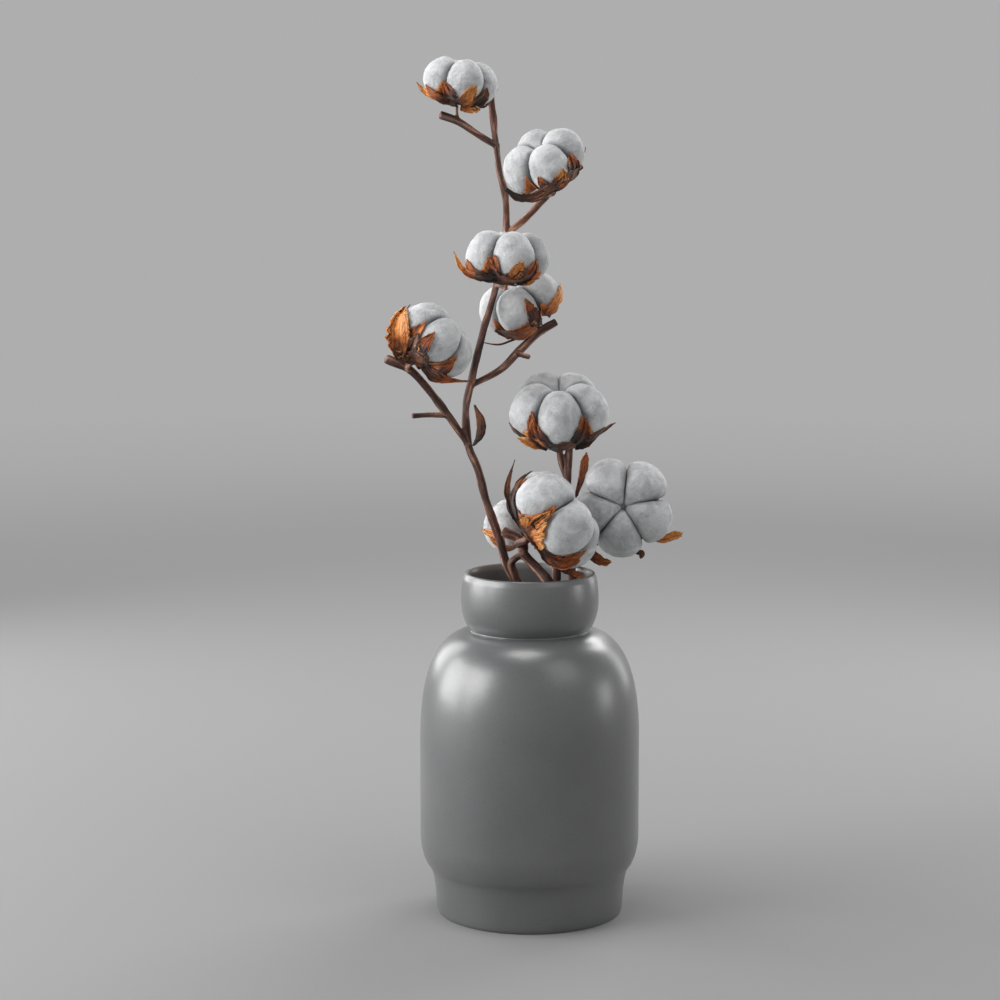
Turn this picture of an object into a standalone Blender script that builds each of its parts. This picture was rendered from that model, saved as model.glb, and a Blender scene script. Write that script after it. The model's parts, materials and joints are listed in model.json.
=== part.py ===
"""Dried cotton stems standing in a grey ceramic vase.

Frame: metres, +Z up, origin at the centre of the vase's flat underside.  The viewer who
faces the bunch looks along +Y, with +X to the right.

The vase is one turned shell.  Each stem is one grown piece, with its forks, its cut ends
and the stalks of its bolls.  Each boll is a bur, the woody cup of dried valves with the
bracts below it, and the four or five locks of cotton that stand in the bur.
"""

import math
import random

import bmesh
import bpy
from mathutils import Matrix, Vector

MM = 0.001
GAP = 0.3 * MM  # air between two pieces that touch
MERGE_DISTANCE = 0.00001
SHARP_ANGLE = math.radians(50)

# ---------------------------------------------------------------- vase, in millimetres
VASE_STEPS = 32
WALL = 5.0
FLOOR_THICKNESS = 8.0
RIM = [(42.4, 239.1), (43.8, 240.0), (45.4, 239.3)]  # inside, top and outside of the lip
NECK_CENTRE = (30.0, 220.0)
NECK_BULGE = 17.8
NECK_RISE = 42.0
NECK_DROP = 26.2
NECK_TOP_ANGLE = 24  # degrees on the neck's oval, where it meets the rim
NECK_JOINT_ANGLE = -50  # and where it meets the shoulder
SHOULDER_CENTRE = (36.0, 120.0)
SHOULDER_SIZE = (40.5, 80.0)
SHOULDER_POWER = 2.5
SHOULDER_JOINT_ANGLE = 84.5
BELLY_CENTRE = (64.5, 56.0)
BELLY_SIZE = (12.0, 26.0)
BELLY_FOOT_ANGLE = -62
INNER_BELLY_CENTRE = (42.0, 70.0)
FOOT = [(68.4, 29.8), (67.0, 23.8), (66.0, 17.0), (65.1, 3.0), (64.4, 0.9), (62.0, 0.0)]

# ---------------------------------------------------------------- stems, in millimetres
SPAN_STEPS = 2  # tube points for each span between two route points
TUBE_SIDES_RESOLUTION = 2

# Each route is a list of (x, y, z, radius).  A branch starts on its parent's centre line.
STEMS = {
    "stem_tall": {
        "main": [
            (38, 10, 9.8, 3.3), (24, 18, 90, 3.3), (8, 28, 170, 3.2), (2, 30, 205, 3.2),
            (-10, 28, 230, 3.2), (-16.5, 28, 243, 3.3), (-22, 28, 262, 3.1),
            (-30.5, 28, 287, 3.0), (-36, 28, 308, 2.9), (-43, 28, 326, 3.1),
            (-44.5, 30, 350, 2.7), (-41, 32, 369, 2.8), (-35, 34, 395, 2.6),
            (-28, 36, 420, 2.5), (-23, 38, 438, 2.5), (-19, 38, 458, 2.4),
            (-16.5, 38, 474, 2.5), (-17, 38, 499, 2.4), (-21, 38, 515, 2.3),
            (-23.5, 39, 535, 2.3), (-27, 41, 567.5, 2.5),
        ],
        "left_branch": [
            (-43, 28, 326, 2.3), (-55.5, 22, 345, 2.6), (-69, 14, 364, 2.5),
            (-83, 8, 380, 2.4), (-99, 4, 388, 2.4),
        ],
        "left_stub": [(-57, 21.2, 347, 1.6), (-70, 14, 348, 1.9), (-81.5, 8, 348, 2.0)],
        "right_branch": [
            (-41, 32, 367, 2.0), (-21, 42, 377, 2.5), (-7, 52, 390, 2.5),
            (8, 60, 403, 2.5), (19, 64, 409.5, 2.6),
        ],
        "right_stub": [(-9, 50.6, 388, 1.6), (0, 44, 386, 1.8)],
        "upper_branch": [
            (-16.4, 38, 472, 2.0), (-3, 36.5, 483, 2.3), (10, 34, 497, 2.5),
            (22, 32, 509, 2.6), (36, 29, 520, 2.5),
        ],
        "top_branch": [
            (-23.4, 39, 533, 2.0), (-38, 30, 542, 2.6), (-49.5, 22, 549.5, 2.8),
            (-62, 18, 554, 3.0),
        ],
    },
    "stem_front": {
        "main": [
            (34, -24, 9.6, 3.2), (30, -22, 100, 3.2), (26, -19, 180, 3.1),
            (21, -14, 212, 3.0), (13, -6, 233, 3.2), (5, -1, 243, 3.3),
            (-4, 1, 252, 3.3), (-5, 3, 259, 3.3), (-10, 5, 264, 3.2), (-19, 6, 268, 3.1),
        ],
        "side_leg": [
            (-4.2, 1.2, 253, 2.2), (-11, 3.5, 248.5, 2.7), (-13, 5.5, 244.5, 2.7),
            (-10, 7, 236, 2.6), (-6, 8, 222, 2.5), (-4, 8.5, 206, 2.4),
        ],
    },
    "stem_middle": {
        "main": [
            (-20, 30, 9.6, 3.2), (-8, 24, 90, 3.2), (8, 17, 165, 3.1), (17, 15, 208, 3.1),
            (19, 24, 240, 3.0), (22, 34, 262, 3.0), (25, 36, 284, 3.0),
            (26.5, 31, 301, 3.0), (28, 31, 326, 2.9),
        ],
    },
    "stem_right": {
        "main": [
            (14, -34, 9.6, 3.0), (20, -24, 90, 3.0), (28, -9, 170, 2.9), (31, 2, 208, 2.9),
            (30, 20, 240, 2.8), (40, 43, 250, 2.7), (53, 62, 259, 2.6),
            (62, 73, 268, 2.6),
        ],
    },
}

STALK_LEAD = 2.5  # the stalk's last stretch lies on the boll's axis
# The stalk of each boll: the stem that it grows on, its route up to the boll, its radius.
STALKS = {
    1: ("stem_tall", [(-49.4, 22, 550, 1.2), (-50.4, 20.5, 556, 1.2)], 1.2),
    2: ("stem_tall", [(12, 33.8, 499, 1.5), (15.5, 25, 500.5, 1.7)], 1.8),
    3: ("stem_tall", [(-23, 37.9, 437, 1.7), (-20, 22, 437, 1.8), (-17.4, 7, 436, 1.8)], 1.8),
    4: ("stem_tall", [(9, 60.6, 403.6, 1.8), (7.6, 63.5, 404.5, 2.4)], 2.4),
    5: ("stem_tall", [(-84, 7.8, 380.6, 1.7), (-83.4, 3.5, 383, 2.1)], 2.1),
    6: ("stem_middle", [(26.4, 31.4, 300, 1.9), (22, 31, 314, 2.3)], 2.3),
    7: ("stem_right", [(62, 73, 268, 1.8), (67, 69, 274, 2.5)], 2.5),
    8: ("stem_front", [(-5.2, 3, 260, 2.4), (-8, -8, 261, 2.8), (-8, -16, 262.6, 2.8)], 2.8),
    9: ("stem_middle", [(19.6, 26, 245, 1.9), (14, 44, 246, 2.2), (8.5, 57, 247.5, 2.2)], 2.2),
}

# ---------------------------------------------------------------- bolls
# base: where the stalk meets the bur, in mm.  lean: degrees from +Z.  heading: where it
# leans, degrees from +X.  spin: bearing of the first lock.  size: radius in mm.
# A bract is (bearing, height of its tip in degrees, width in mm, stand-off of its tip in mm),
# and bearings are counted about the boll's axis from +X, as if the boll stood upright.
BOLLS = {
    1: dict(base=(-50, 20, 561), lean=9, heading=0, spin=13, size=25.0, locks=4,
            bracts=[(184, 5, 3.0, 4), (340, 0, 5.0, 2), (262, -12, 7.0, 1)]),
    2: dict(base=(15.5, 16, 508), lean=34, heading=230, spin=10, size=28.0, locks=4,
            bracts=[(208, -22, 5.0, 3), (303, -12, 10.0, 1), (352, 18, 6.0, 2)]),
    3: dict(base=(-16.5, 0, 440.5), lean=4, heading=22, spin=13, size=28.0, locks=4,
            bracts=[(182, 2, 4.0, 5), (238, -20, 6.0, 2), (306, -10, 10.0, 1)]),
    4: dict(base=(1.5, 66, 408), lean=34, heading=216, spin=81, size=29.5, locks=4,
            bracts=[(352, 12, 7.0, 7), (248, -42, 3.0, 9), (300, -25, 9.0, 1)]),
    5: dict(base=(-77.5, 0, 390), lean=48, heading=1, spin=60, size=28.0, locks=5,
            bracts=[(213, 14, 17.0, 2), (318, 10, 8.0, 3), (92, 0, 9.0, 3)]),
    6: dict(base=(20.2, 27, 331.5), lean=21, heading=270, spin=55, size=34.0, locks=5,
            bracts=[(206, -22, 9.0, 3), (348, -18, 5.0, 13), (148, 5, 5.0, 3)]),
    7: dict(base=(67, 49.6, 279), lean=82, heading=267, spin=46, size=35.0, locks=5,
            bracts=[(134, -14, 7.5, 13), (336, -12, 7.0, 10), (245, -14, 10.0, 5)]),
    8: dict(base=(-1.7, -18.8, 266.2), lean=54, heading=9, spin=8, size=36.3, locks=5,
            bracts=[(199, 12, 4.5, 12), (221, 18, 4.5, 5), (267, -8, 14.0, 2)]),
    9: dict(base=(4.5, 64, 253.5), lean=33, heading=162, spin=20, size=29.0, locks=5,
            bracts=[(196, -18, 6.0, 7), (80, -10, 8.0, 2), (320, -15, 8.0, 2)]),
}

# A boll's shape in shares of its size
LOCK_OUT = 0.53  # from the axis to a lock's centre
LOCK_UP = 0.66
LOCK_SEMI = (0.49, 0.52, 0.58)  # outward, sideways, upward
LOCK_TILT = math.radians(20)  # the top of a lock leans in
LOCK_VARIATION = 0.05
LOCK_SEGMENTS = 9
LOCK_RINGS = 6
LOCK_NARROWEST = 0.05
HEART_UP = 0.62  # the point on the axis that the bur is drawn round
HEART_RADIUS = 0.50
KNOB_RADIUS = 0.15
BUR_STEPS_PER_LOCK = 6
BUR_RISE_STEPS = 4
BUR_START = math.radians(-75)
BUR_INNER_START = math.radians(-90)
BUR_BAY = math.radians(-42)  # edge under a lock
BUR_TIP = math.radians(12)  # edge at a valve's tip
BUR_POINT_POWER = 2.2
BUR_CLEARANCE = 0.066  # a share of the size
BUR_WALL = 1.3 * MM
BUR_EDGE_WALL = 0.8 * MM
BUR_FLARE = 1.0 * MM
BRACT_START = math.radians(-62)
BRACT_CLEARANCE = 1.1 * MM
BRACT_LAYER = 0.3 * MM  # each further bract of a boll lies outside the one before
BRACT_WALL = 0.9 * MM
BRACT_ROWS = 5
WIDE_BRACT = 8.0
BRACT_ROOT_OUT = 0.06
BRACT_ROOT_UP = 1.4 * MM
BRACT_ROOT_HALF = 0.8 * MM
BLADE_BASE = 0.35  # a bract's width at its base, as a share of its widest
BLADE_SWELL = 0.65
BLADE_SWELL_END = 1.15  # the swelling is over a little before the tip
BLADE_TAPER = 0.25

LEAF_ROUTE = [(-39.4, 24.6, 325.5), (-36, 21, 333), (-35.5, 18, 343), (-38.5, 15.5, 355)]
LEAF_WIDTHS = (1.6, 7.0, 8.0, 1.4)
LEAF_ASIDE = (0.75, -0.66, 0.0)  # across the blade
LEAF_CURL = (0.30, 0.33, 0.0)  # the edges curl this way, as a share of the half width
LEAF_WALL = 0.8 * MM

COLOURS = {
    "glazed_ceramic": ((0.150, 0.152, 0.155), 0.32),
    "bark": ((0.090, 0.042, 0.030), 0.75),
    "dry_bur": ((0.170, 0.062, 0.022), 0.72),
    "cotton": ((0.560, 0.570, 0.575), 0.95),
    "dry_leaf": ((0.200, 0.075, 0.030), 0.75),
}


# ---------------------------------------------------------------- scene helpers
def clear_scene():
    for old in list(bpy.data.objects):
        bpy.data.objects.remove(old, do_unlink=True)


def new_collection(name):
    collection = bpy.data.collections.new(name)
    bpy.context.scene.collection.children.link(collection)
    return collection


def new_material(name):
    colour, roughness = COLOURS[name]
    material = bpy.data.materials.new(name)
    material.use_nodes = True
    shader = material.node_tree.nodes["Principled BSDF"]
    shader.inputs["Base Color"].default_value = (*colour, 1.0)
    shader.inputs["Roughness"].default_value = roughness
    shader.inputs["Metallic"].default_value = 0.0
    material.diffuse_color = (*colour, 1.0)
    return material


def mesh_object(name, bm, material, collection):
    mesh = bpy.data.meshes.new(name)
    bm.to_mesh(mesh)
    bm.free()
    mesh.materials.append(material)
    mesh.shade_smooth()
    mesh.set_sharp_from_angle(angle=SHARP_ANGLE)
    thing = bpy.data.objects.new(name, mesh)
    collection.objects.link(thing)
    return thing


def hide_as_tool(thing):
    thing.hide_render = True
    thing.display_type = "WIRE"


def add_union(thing, other):
    joint = thing.modifiers.new("join_" + other.name, "BOOLEAN")
    joint.operation = "UNION"
    joint.solver = "EXACT"
    joint.object = other
    hide_as_tool(other)


# ---------------------------------------------------------------- vase
def oval_arc(centre, size, start, end, steps, power=2.0):
    """Points (radius, height) on an oval, between two angles in degrees."""
    points = []
    for i in range(steps + 1):
        a = math.radians(start + (end - start) * i / steps)
        out = abs(math.cos(a)) ** (2 / power) * size[0]
        up = math.copysign(abs(math.sin(a)) ** (2 / power), a) * size[1]
        points.append((centre[0] + out, centre[1] + up))
    return points


def vase_side(inset):
    """The wall from under the rim down to the belly, moved in by inset."""
    neck = NECK_BULGE - inset
    upper = oval_arc(NECK_CENTRE, (neck, NECK_RISE), NECK_TOP_ANGLE, 0, 2)
    lower = oval_arc(NECK_CENTRE, (neck, NECK_DROP), 0, NECK_JOINT_ANGLE, 3)[1:]
    size = (SHOULDER_SIZE[0] - inset, SHOULDER_SIZE[1] - inset)
    shoulder = oval_arc(
        SHOULDER_CENTRE, size, SHOULDER_JOINT_ANGLE, 0, 7, SHOULDER_POWER
    )
    return upper + lower + shoulder


def vase_profile():
    """From the middle of the inner floor, up inside, over the rim and down outside."""
    depth = INNER_BELLY_CENTRE[1] - FLOOR_THICKNESS
    width = SHOULDER_CENTRE[0] + SHOULDER_SIZE[0] - WALL - INNER_BELLY_CENTRE[0]
    inner_belly = oval_arc(INNER_BELLY_CENTRE, (width, depth), 0, -90, 4)
    inside = vase_side(WALL) + inner_belly
    belly = oval_arc(BELLY_CENTRE, BELLY_SIZE, 0, BELLY_FOOT_ANGLE, 4)
    axis = [(0.0, FLOOR_THICKNESS)]
    return axis + inside[::-1] + RIM + vase_side(0.0) + belly + FOOT + [(0.0, 0.0)]


def make_vase(material, collection):
    bm = bmesh.new()
    previous = None
    for radius, height in vase_profile():
        vertex = bm.verts.new((radius * MM, 0, height * MM))
        if previous:
            bm.edges.new((previous, vertex))
        previous = vertex
    vase = mesh_object("vase", bm, material, collection)
    turn = vase.modifiers.new("turn", "SCREW")
    turn.axis = "Z"
    turn.steps = VASE_STEPS
    turn.render_steps = VASE_STEPS
    turn.use_merge_vertices = True
    turn.merge_threshold = MERGE_DISTANCE
    turn.use_smooth_shade = True
    return vase


# ---------------------------------------------------------------- stems
def smooth_route(route):
    """Points on a smooth curve through the route's own points (Catmull-Rom)."""
    known = [Vector(p) for p in route]
    ends = [2 * known[0] - known[1]] + known + [2 * known[-1] - known[-2]]
    points = []
    for a, b, c, d in zip(ends, ends[1:], ends[2:], ends[3:]):
        for i in range(SPAN_STEPS):
            t = i / SPAN_STEPS
            bend = (2 * a - 5 * b + 4 * c - d) * t * t + (3 * b - a - 3 * c + d) * t**3
            points.append((2 * b + (c - a) * t + bend) / 2)
    return points + [known[-1]]


def tube(name, route, material, collection, last=None):
    """A closed tube along a route of (x, y, z, radius), all in millimetres.

    A last point is reached in a straight line, so that the tube's end is square to it.
    """
    points = smooth_route(route) + ([Vector(last)] if last else [])
    data = bpy.data.curves.new(name, "CURVE")
    data.dimensions = "3D"
    data.bevel_depth = MM
    data.bevel_resolution = TUBE_SIDES_RESOLUTION
    data.use_fill_caps = True
    spline = data.splines.new("POLY")
    spline.points.add(len(points) - 1)
    for point, (x, y, z, radius) in zip(spline.points, points):
        point.co = (x * MM, y * MM, z * MM, 1.0)
        point.radius = radius
    curve = bpy.data.objects.new(name + "_line", data)
    collection.objects.link(curve)
    depsgraph = bpy.context.evaluated_depsgraph_get()
    mesh = bpy.data.meshes.new_from_object(curve.evaluated_get(depsgraph))
    mesh.name = name
    bpy.data.objects.remove(curve)
    bm = bmesh.new()
    bm.from_mesh(mesh)
    bmesh.ops.remove_doubles(bm, verts=bm.verts, dist=MERGE_DISTANCE)
    bpy.data.meshes.remove(mesh)
    return mesh_object(name, bm, material, collection)


def stalk_route(number):
    """The stalk's route, and its last point, on the boll's axis a gap below the bur."""
    stem, start, radius = STALKS[number]
    boll = BOLLS[number]
    axis = boll_turn(boll) @ Vector((0, 0, 1))
    base = Vector(boll["base"])
    lead = base - axis * STALK_LEAD
    end = base - axis * GAP / MM
    return stem, start + [(*lead, radius)], (*end, radius)


def make_stem(name, routes, material, parts, tools):
    stem = tube(name, routes["main"], material, parts)
    for branch, route in routes.items():
        if branch != "main":
            add_union(stem, tube(f"{name}_{branch}", route, material, tools))
    for number in STALKS:
        owner, route, last = stalk_route(number)
        if owner == name:
            add_union(stem, tube(f"stalk_{number}", route, material, tools, last))
    return stem


# ---------------------------------------------------------------- bolls
def boll_turn(boll):
    """Turns the boll's own upright frame to where the boll leans."""
    heading = Matrix.Rotation(math.radians(boll["heading"]), 4, "Z")
    lean = Matrix.Rotation(math.radians(boll["lean"]), 4, "Y")
    return heading @ lean @ heading.inverted()


def boll_place(boll):
    return Matrix.Translation(Vector(boll["base"]) * MM) @ boll_turn(boll)


def boll_locks(number, boll):
    """The bearing and the swelling of each lock."""
    rng = random.Random(number)
    step = 2 * math.pi / boll["locks"]
    first = math.radians(boll["spin"])
    swellings = [1 + rng.uniform(-1, 1) * LOCK_VARIATION for _ in range(boll["locks"])]
    return [(first + k * step, swelling) for k, swelling in enumerate(swellings)]


def lock_matrix(size, bearing, swelling):
    """Takes the unit sphere to a lock's oval."""
    semi = [share * size * swelling for share in LOCK_SEMI]
    turn = Matrix.Rotation(bearing, 4, "Z")
    place = Matrix.Translation((LOCK_OUT * size, 0, LOCK_UP * size))
    tilt = Matrix.Rotation(-LOCK_TILT, 4, "Y")
    return turn @ place @ tilt @ Matrix.Diagonal((*semi, 1.0))


def make_lock(number, k, boll, material, collection):
    """A lock fills its own wedge of the boll, with flat flanks beside its neighbours."""
    size = boll["size"] * MM
    bearing, swelling = boll_locks(number, boll)[k]
    half = math.pi / boll["locks"]
    bm = bmesh.new()
    bmesh.ops.create_uvsphere(
        bm, u_segments=LOCK_SEGMENTS, v_segments=LOCK_RINGS, radius=1.0
    )
    upright = Matrix.Rotation(bearing, 4, "Z").inverted()
    shape = upright @ lock_matrix(size, bearing, swelling)
    for vertex in bm.verts:
        p = shape @ vertex.co
        p.x = max(p.x, LOCK_NARROWEST * size)
        limit = p.x * math.tan(half) - GAP / (2 * math.cos(half))
        p.y = max(-limit, min(limit, p.y))
        vertex.co = p
    bmesh.ops.delete(bm, geom=bm.edges[:], context="EDGES_FACES")
    hull = bmesh.ops.convex_hull(bm, input=bm.verts)
    spare = set(hull["geom_interior"] + hull["geom_unused"])
    bmesh.ops.delete(bm, geom=[g for g in spare if isinstance(g, bmesh.types.BMVert)])
    bmesh.ops.transform(bm, matrix=boll_place(boll) @ upright.inverted(), verts=bm.verts)
    return mesh_object(f"boll_{number}_lock_{k + 1}", bm, material, collection)


def reach(number, boll, bearing, rise):
    """How far the cotton reaches from the boll's heart, in a direction."""
    size = boll["size"] * MM
    heart = Vector((0, 0, HEART_UP * size))
    way = Vector(
        (
            math.cos(rise) * math.cos(bearing),
            math.cos(rise) * math.sin(bearing),
            math.sin(rise),
        )
    )
    furthest = HEART_RADIUS * size
    for lock_bearing, swelling in boll_locks(number, boll):
        to_sphere = lock_matrix(size, lock_bearing, swelling).inverted()
        o = to_sphere @ heart
        d = to_sphere.to_3x3() @ way
        b = o.dot(d)
        inside = b * b - d.length_squared * (o.length_squared - 1)
        if inside > 0:
            furthest = max(furthest, (-b + math.sqrt(inside)) / d.length_squared)
    return furthest


def round_the_cotton(number, boll, bearing, rise, stand_off):
    """A point at a stand-off from the cotton, in the boll's upright frame."""
    size = boll["size"] * MM
    far = reach(number, boll, bearing, rise) + stand_off
    out = far * math.cos(rise)
    up = HEART_UP * size + far * math.sin(rise)
    return Vector((out * math.cos(bearing), out * math.sin(bearing), up))


def valve_share(number, boll, bearing):
    """1 at the middle of a valve, between two locks, and 0 under a lock."""
    n = boll["locks"]
    offset = bearing - math.radians(boll["spin"]) - math.pi / n
    return abs(math.cos(n * offset / 2)) ** BUR_POINT_POWER


def bur_point(number, boll, bearing, row):
    """Row 0 is the knob's middle.  Rows then go round the knob, up outside and down inside."""
    size = boll["size"] * MM
    knob = KNOB_RADIUS * size
    if row <= 1:
        return Vector((row * knob * math.cos(bearing), row * knob * math.sin(bearing), 0))
    share = valve_share(number, boll, bearing)
    edge = BUR_BAY + (BUR_TIP - BUR_BAY) * share
    outer_rows = BUR_RISE_STEPS + 1
    outside = row - 2 < outer_rows
    step = row - 2 if outside else 2 * outer_rows - 1 - (row - 2)
    t = step / BUR_RISE_STEPS
    start = BUR_START if outside else BUR_INNER_START
    rise = start + (edge - start) * t
    flare = BUR_FLARE * share * t
    wall = BUR_WALL + (BUR_EDGE_WALL - BUR_WALL) * t
    stand_off = BUR_CLEARANCE * size + flare + (wall if outside else 0.0)
    return round_the_cotton(number, boll, bearing, rise, stand_off)


def make_cup(number, boll, material, collection):
    """A row of points on a line is spun into a closed web, which is then shaped as the bur."""
    rows = 2 + 2 * (BUR_RISE_STEPS + 1)
    bm = bmesh.new()
    line = [bm.verts.new((row, 0, 0)) for row in range(rows)]
    for a, b in zip(line, line[1:]):
        bm.edges.new((a, b))
    bmesh.ops.spin(
        bm,
        geom=bm.verts[:] + bm.edges[:],
        axis=(0, 0, 1),
        cent=(0, 0, 0),
        angle=2 * math.pi,
        steps=BUR_STEPS_PER_LOCK * boll["locks"],
        use_merge=True,
    )
    first = math.radians(boll["spin"])
    for vertex in bm.verts:
        row = round(vertex.co.length)
        bearing = first + math.atan2(vertex.co.y, vertex.co.x)
        vertex.co = bur_point(number, boll, bearing, row)
    bmesh.ops.remove_doubles(bm, verts=bm.verts, dist=MERGE_DISTANCE)
    bmesh.ops.recalc_face_normals(bm, faces=bm.faces)
    bmesh.ops.triangulate(bm, faces=bm.faces, quad_method="SHORT_EDGE")
    bmesh.ops.transform(bm, matrix=boll_place(boll), verts=bm.verts)
    return mesh_object(f"boll_{number}_bur", bm, material, collection)


def blade_width(t):
    """A bract's width along its length, as a share of its widest."""
    swell = math.sin(math.pi * min(1.0, t * BLADE_SWELL_END))
    return BLADE_BASE + BLADE_SWELL * swell - BLADE_TAPER * t * t


def make_bract(number, boll, k, material, collection):
    """A thin blade from inside the knob, out under the bur and up beside the cotton."""
    bearing, tip, width, stand_off = boll["bracts"][k]
    size = boll["size"] * MM
    bearing = math.radians(bearing)
    tip = math.radians(tip)
    clear = BUR_CLEARANCE * size + BUR_WALL + BRACT_CLEARANCE + k * BRACT_LAYER
    bm = bmesh.new()
    columns = 4 if width > WIDE_BRACT else 2
    bmesh.ops.create_grid(bm, x_segments=columns, y_segments=BRACT_ROWS, size=1.0)
    for vertex in bm.verts:
        across = vertex.co.x
        along = (vertex.co.y + 1) / 2 * BRACT_ROWS
        if along < 0.5:
            aside = across * BRACT_ROOT_HALF
            root = Vector((BRACT_ROOT_OUT * size, aside, BRACT_ROOT_UP))
            vertex.co = Matrix.Rotation(bearing, 3, "Z") @ root
            continue
        t = (along - 1) / (BRACT_ROWS - 1)
        rise = BRACT_START + (tip - BRACT_START) * t
        lift = clear + stand_off * MM * t**2
        radius = round_the_cotton(number, boll, bearing, rise, lift).to_2d().length
        half = across * width * MM / 2 * blade_width(t)
        vertex.co = round_the_cotton(number, boll, bearing + half / radius, rise, lift)
    bmesh.ops.transform(bm, matrix=boll_place(boll), verts=bm.verts)
    name = f"boll_{number}_bract_{k + 1}"
    bract = mesh_object(name, bm, material, collection)
    shell = bract.modifiers.new("thickness", "SOLIDIFY")
    shell.thickness = BRACT_WALL
    shell.offset = 1.0
    return bract


def make_boll(number, boll, materials, parts, tools):
    bur = make_cup(number, boll, materials["dry_bur"], parts)
    for k in range(len(boll["bracts"])):
        add_union(bur, make_bract(number, boll, k, materials["dry_bur"], tools))
    for k in range(boll["locks"]):
        make_lock(number, k, boll, materials["cotton"], parts)


# ---------------------------------------------------------------- leaf
def make_leaf(material, collection):
    """The one dried leaf left on the tall stem, a curled blade."""
    bm = bmesh.new()
    rows = len(LEAF_ROUTE)
    bmesh.ops.create_grid(bm, x_segments=2, y_segments=rows - 1, size=1.0)
    for vertex in bm.verts:
        across = vertex.co.x
        row = round((vertex.co.y + 1) / 2 * (rows - 1))
        centre = Vector(LEAF_ROUTE[row])
        half = LEAF_WIDTHS[row] / 2
        aside = Vector(LEAF_ASIDE) * across * half
        curl = Vector(LEAF_CURL) * across * across * half
        vertex.co = (centre + aside + curl) * MM
    bmesh.ops.recalc_face_normals(bm, faces=bm.faces)
    leaf = mesh_object("dried_leaf", bm, material, collection)
    shell = leaf.modifiers.new("thickness", "SOLIDIFY")
    shell.thickness = LEAF_WALL
    shell.offset = 0.0
    return leaf


def main():
    clear_scene()
    parts = new_collection("cotton_stem_bunch")
    tools = new_collection("joined_shapes")
    materials = {name: new_material(name) for name in COLOURS}
    make_vase(materials["glazed_ceramic"], parts)
    for name, routes in STEMS.items():
        make_stem(name, routes, materials["bark"], parts, tools)
    make_leaf(materials["dry_leaf"], parts)
    for number, boll in BOLLS.items():
        make_boll(number, boll, materials, parts, tools)


main()
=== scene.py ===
# %% [markdown]
# # Dried cotton in a grey vase
#
# A vase holds dried cotton stems with open bolls.  A measured model of it, the frame, already
# says where every piece stands.  This lesson makes each piece again in the same place with
# the shape and the finish that the eye looks for: fluffy cotton, curled woody valves, ragged
# bracts, knotty bark and a satin glaze.

import math
import random

import bmesh
import bpy
from mathutils import Matrix, Vector, noise
from mathutils.bvhtree import BVHTree
from mathutils.kdtree import KDTree
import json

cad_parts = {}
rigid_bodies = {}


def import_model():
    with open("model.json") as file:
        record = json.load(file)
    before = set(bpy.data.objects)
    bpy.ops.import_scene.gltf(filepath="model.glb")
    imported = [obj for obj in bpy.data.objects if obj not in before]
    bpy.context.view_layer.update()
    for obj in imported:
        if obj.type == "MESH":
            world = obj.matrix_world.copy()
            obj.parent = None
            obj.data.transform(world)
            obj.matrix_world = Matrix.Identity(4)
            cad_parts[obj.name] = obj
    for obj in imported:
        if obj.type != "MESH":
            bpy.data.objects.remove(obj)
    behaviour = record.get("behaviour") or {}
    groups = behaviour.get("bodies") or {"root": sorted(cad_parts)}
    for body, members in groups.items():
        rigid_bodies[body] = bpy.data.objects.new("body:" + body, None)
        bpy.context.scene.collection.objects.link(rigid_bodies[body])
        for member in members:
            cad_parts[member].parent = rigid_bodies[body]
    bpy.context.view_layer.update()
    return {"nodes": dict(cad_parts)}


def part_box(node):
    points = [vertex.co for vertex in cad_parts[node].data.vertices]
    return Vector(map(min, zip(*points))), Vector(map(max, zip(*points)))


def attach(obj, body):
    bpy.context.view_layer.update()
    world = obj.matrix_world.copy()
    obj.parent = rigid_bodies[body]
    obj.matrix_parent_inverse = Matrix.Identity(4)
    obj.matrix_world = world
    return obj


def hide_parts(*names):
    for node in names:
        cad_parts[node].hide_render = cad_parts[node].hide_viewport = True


MM = 0.001
UP = Vector((0, 0, 1))

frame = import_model()

# %% [markdown]
# ## The camera
#
# A long lens from a little above the mouth of the vase keeps the vase's sides almost
# upright.  The camera comes first, because it decides which details are worth making.

# %% Camera
CAMERA_PLACE = (-0.0207, -1.775, 0.519)
CAMERA_DIP = 7.34  # degrees below the horizon
CAMERA_LENS = 93.24
CAMERA_SENSOR = 36

VIEW_RIGHT = Vector((1, 0, 0))
DIP = math.radians(CAMERA_DIP)
VIEW_AWAY = Vector((0, math.cos(DIP), -math.sin(DIP)))
VIEW_UP = VIEW_RIGHT.cross(VIEW_AWAY)


def new_object(name, data):
    made = bpy.data.objects.new(name, data)
    bpy.context.scene.collection.objects.link(made)
    return made


camera = new_object("camera", bpy.data.cameras.new("camera"))
camera.location = CAMERA_PLACE
camera.rotation_euler = (math.radians(90 - CAMERA_DIP), 0, 0)
camera.data.sensor_width = CAMERA_SENSOR
camera.data.lens = CAMERA_LENS
bpy.context.scene.camera = camera
bpy.context.scene.view_settings.view_transform = "Standard"
print("camera:", CAMERA_LENS, "mm lens")

# %% [markdown]
# ## Helpers for finishes
#
# Every finish here is a small net of texture nodes.  Wiring them by hand takes many lines, so
# helpers make a node and fill its sockets: a value is set on the socket itself, and another
# node's output is linked to it.


# %% Node helpers
def connect(tree, socket, value):
    if isinstance(value, bpy.types.NodeSocket):
        tree.links.new(value, socket)
    else:
        socket.default_value = value


def fill(tree, node, **sockets):
    for name, value in sockets.items():
        connect(tree, node.inputs[name.replace("_", " ")], value)


def add(tree, kind, picks=None, **sockets):
    """Makes a shader node; picks are its settings, sockets its values or links."""
    made = tree.nodes.new("ShaderNode" + kind)
    for name, value in (picks or {}).items():
        setattr(made, name, value)
    fill(tree, made, **sockets)
    return made


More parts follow.
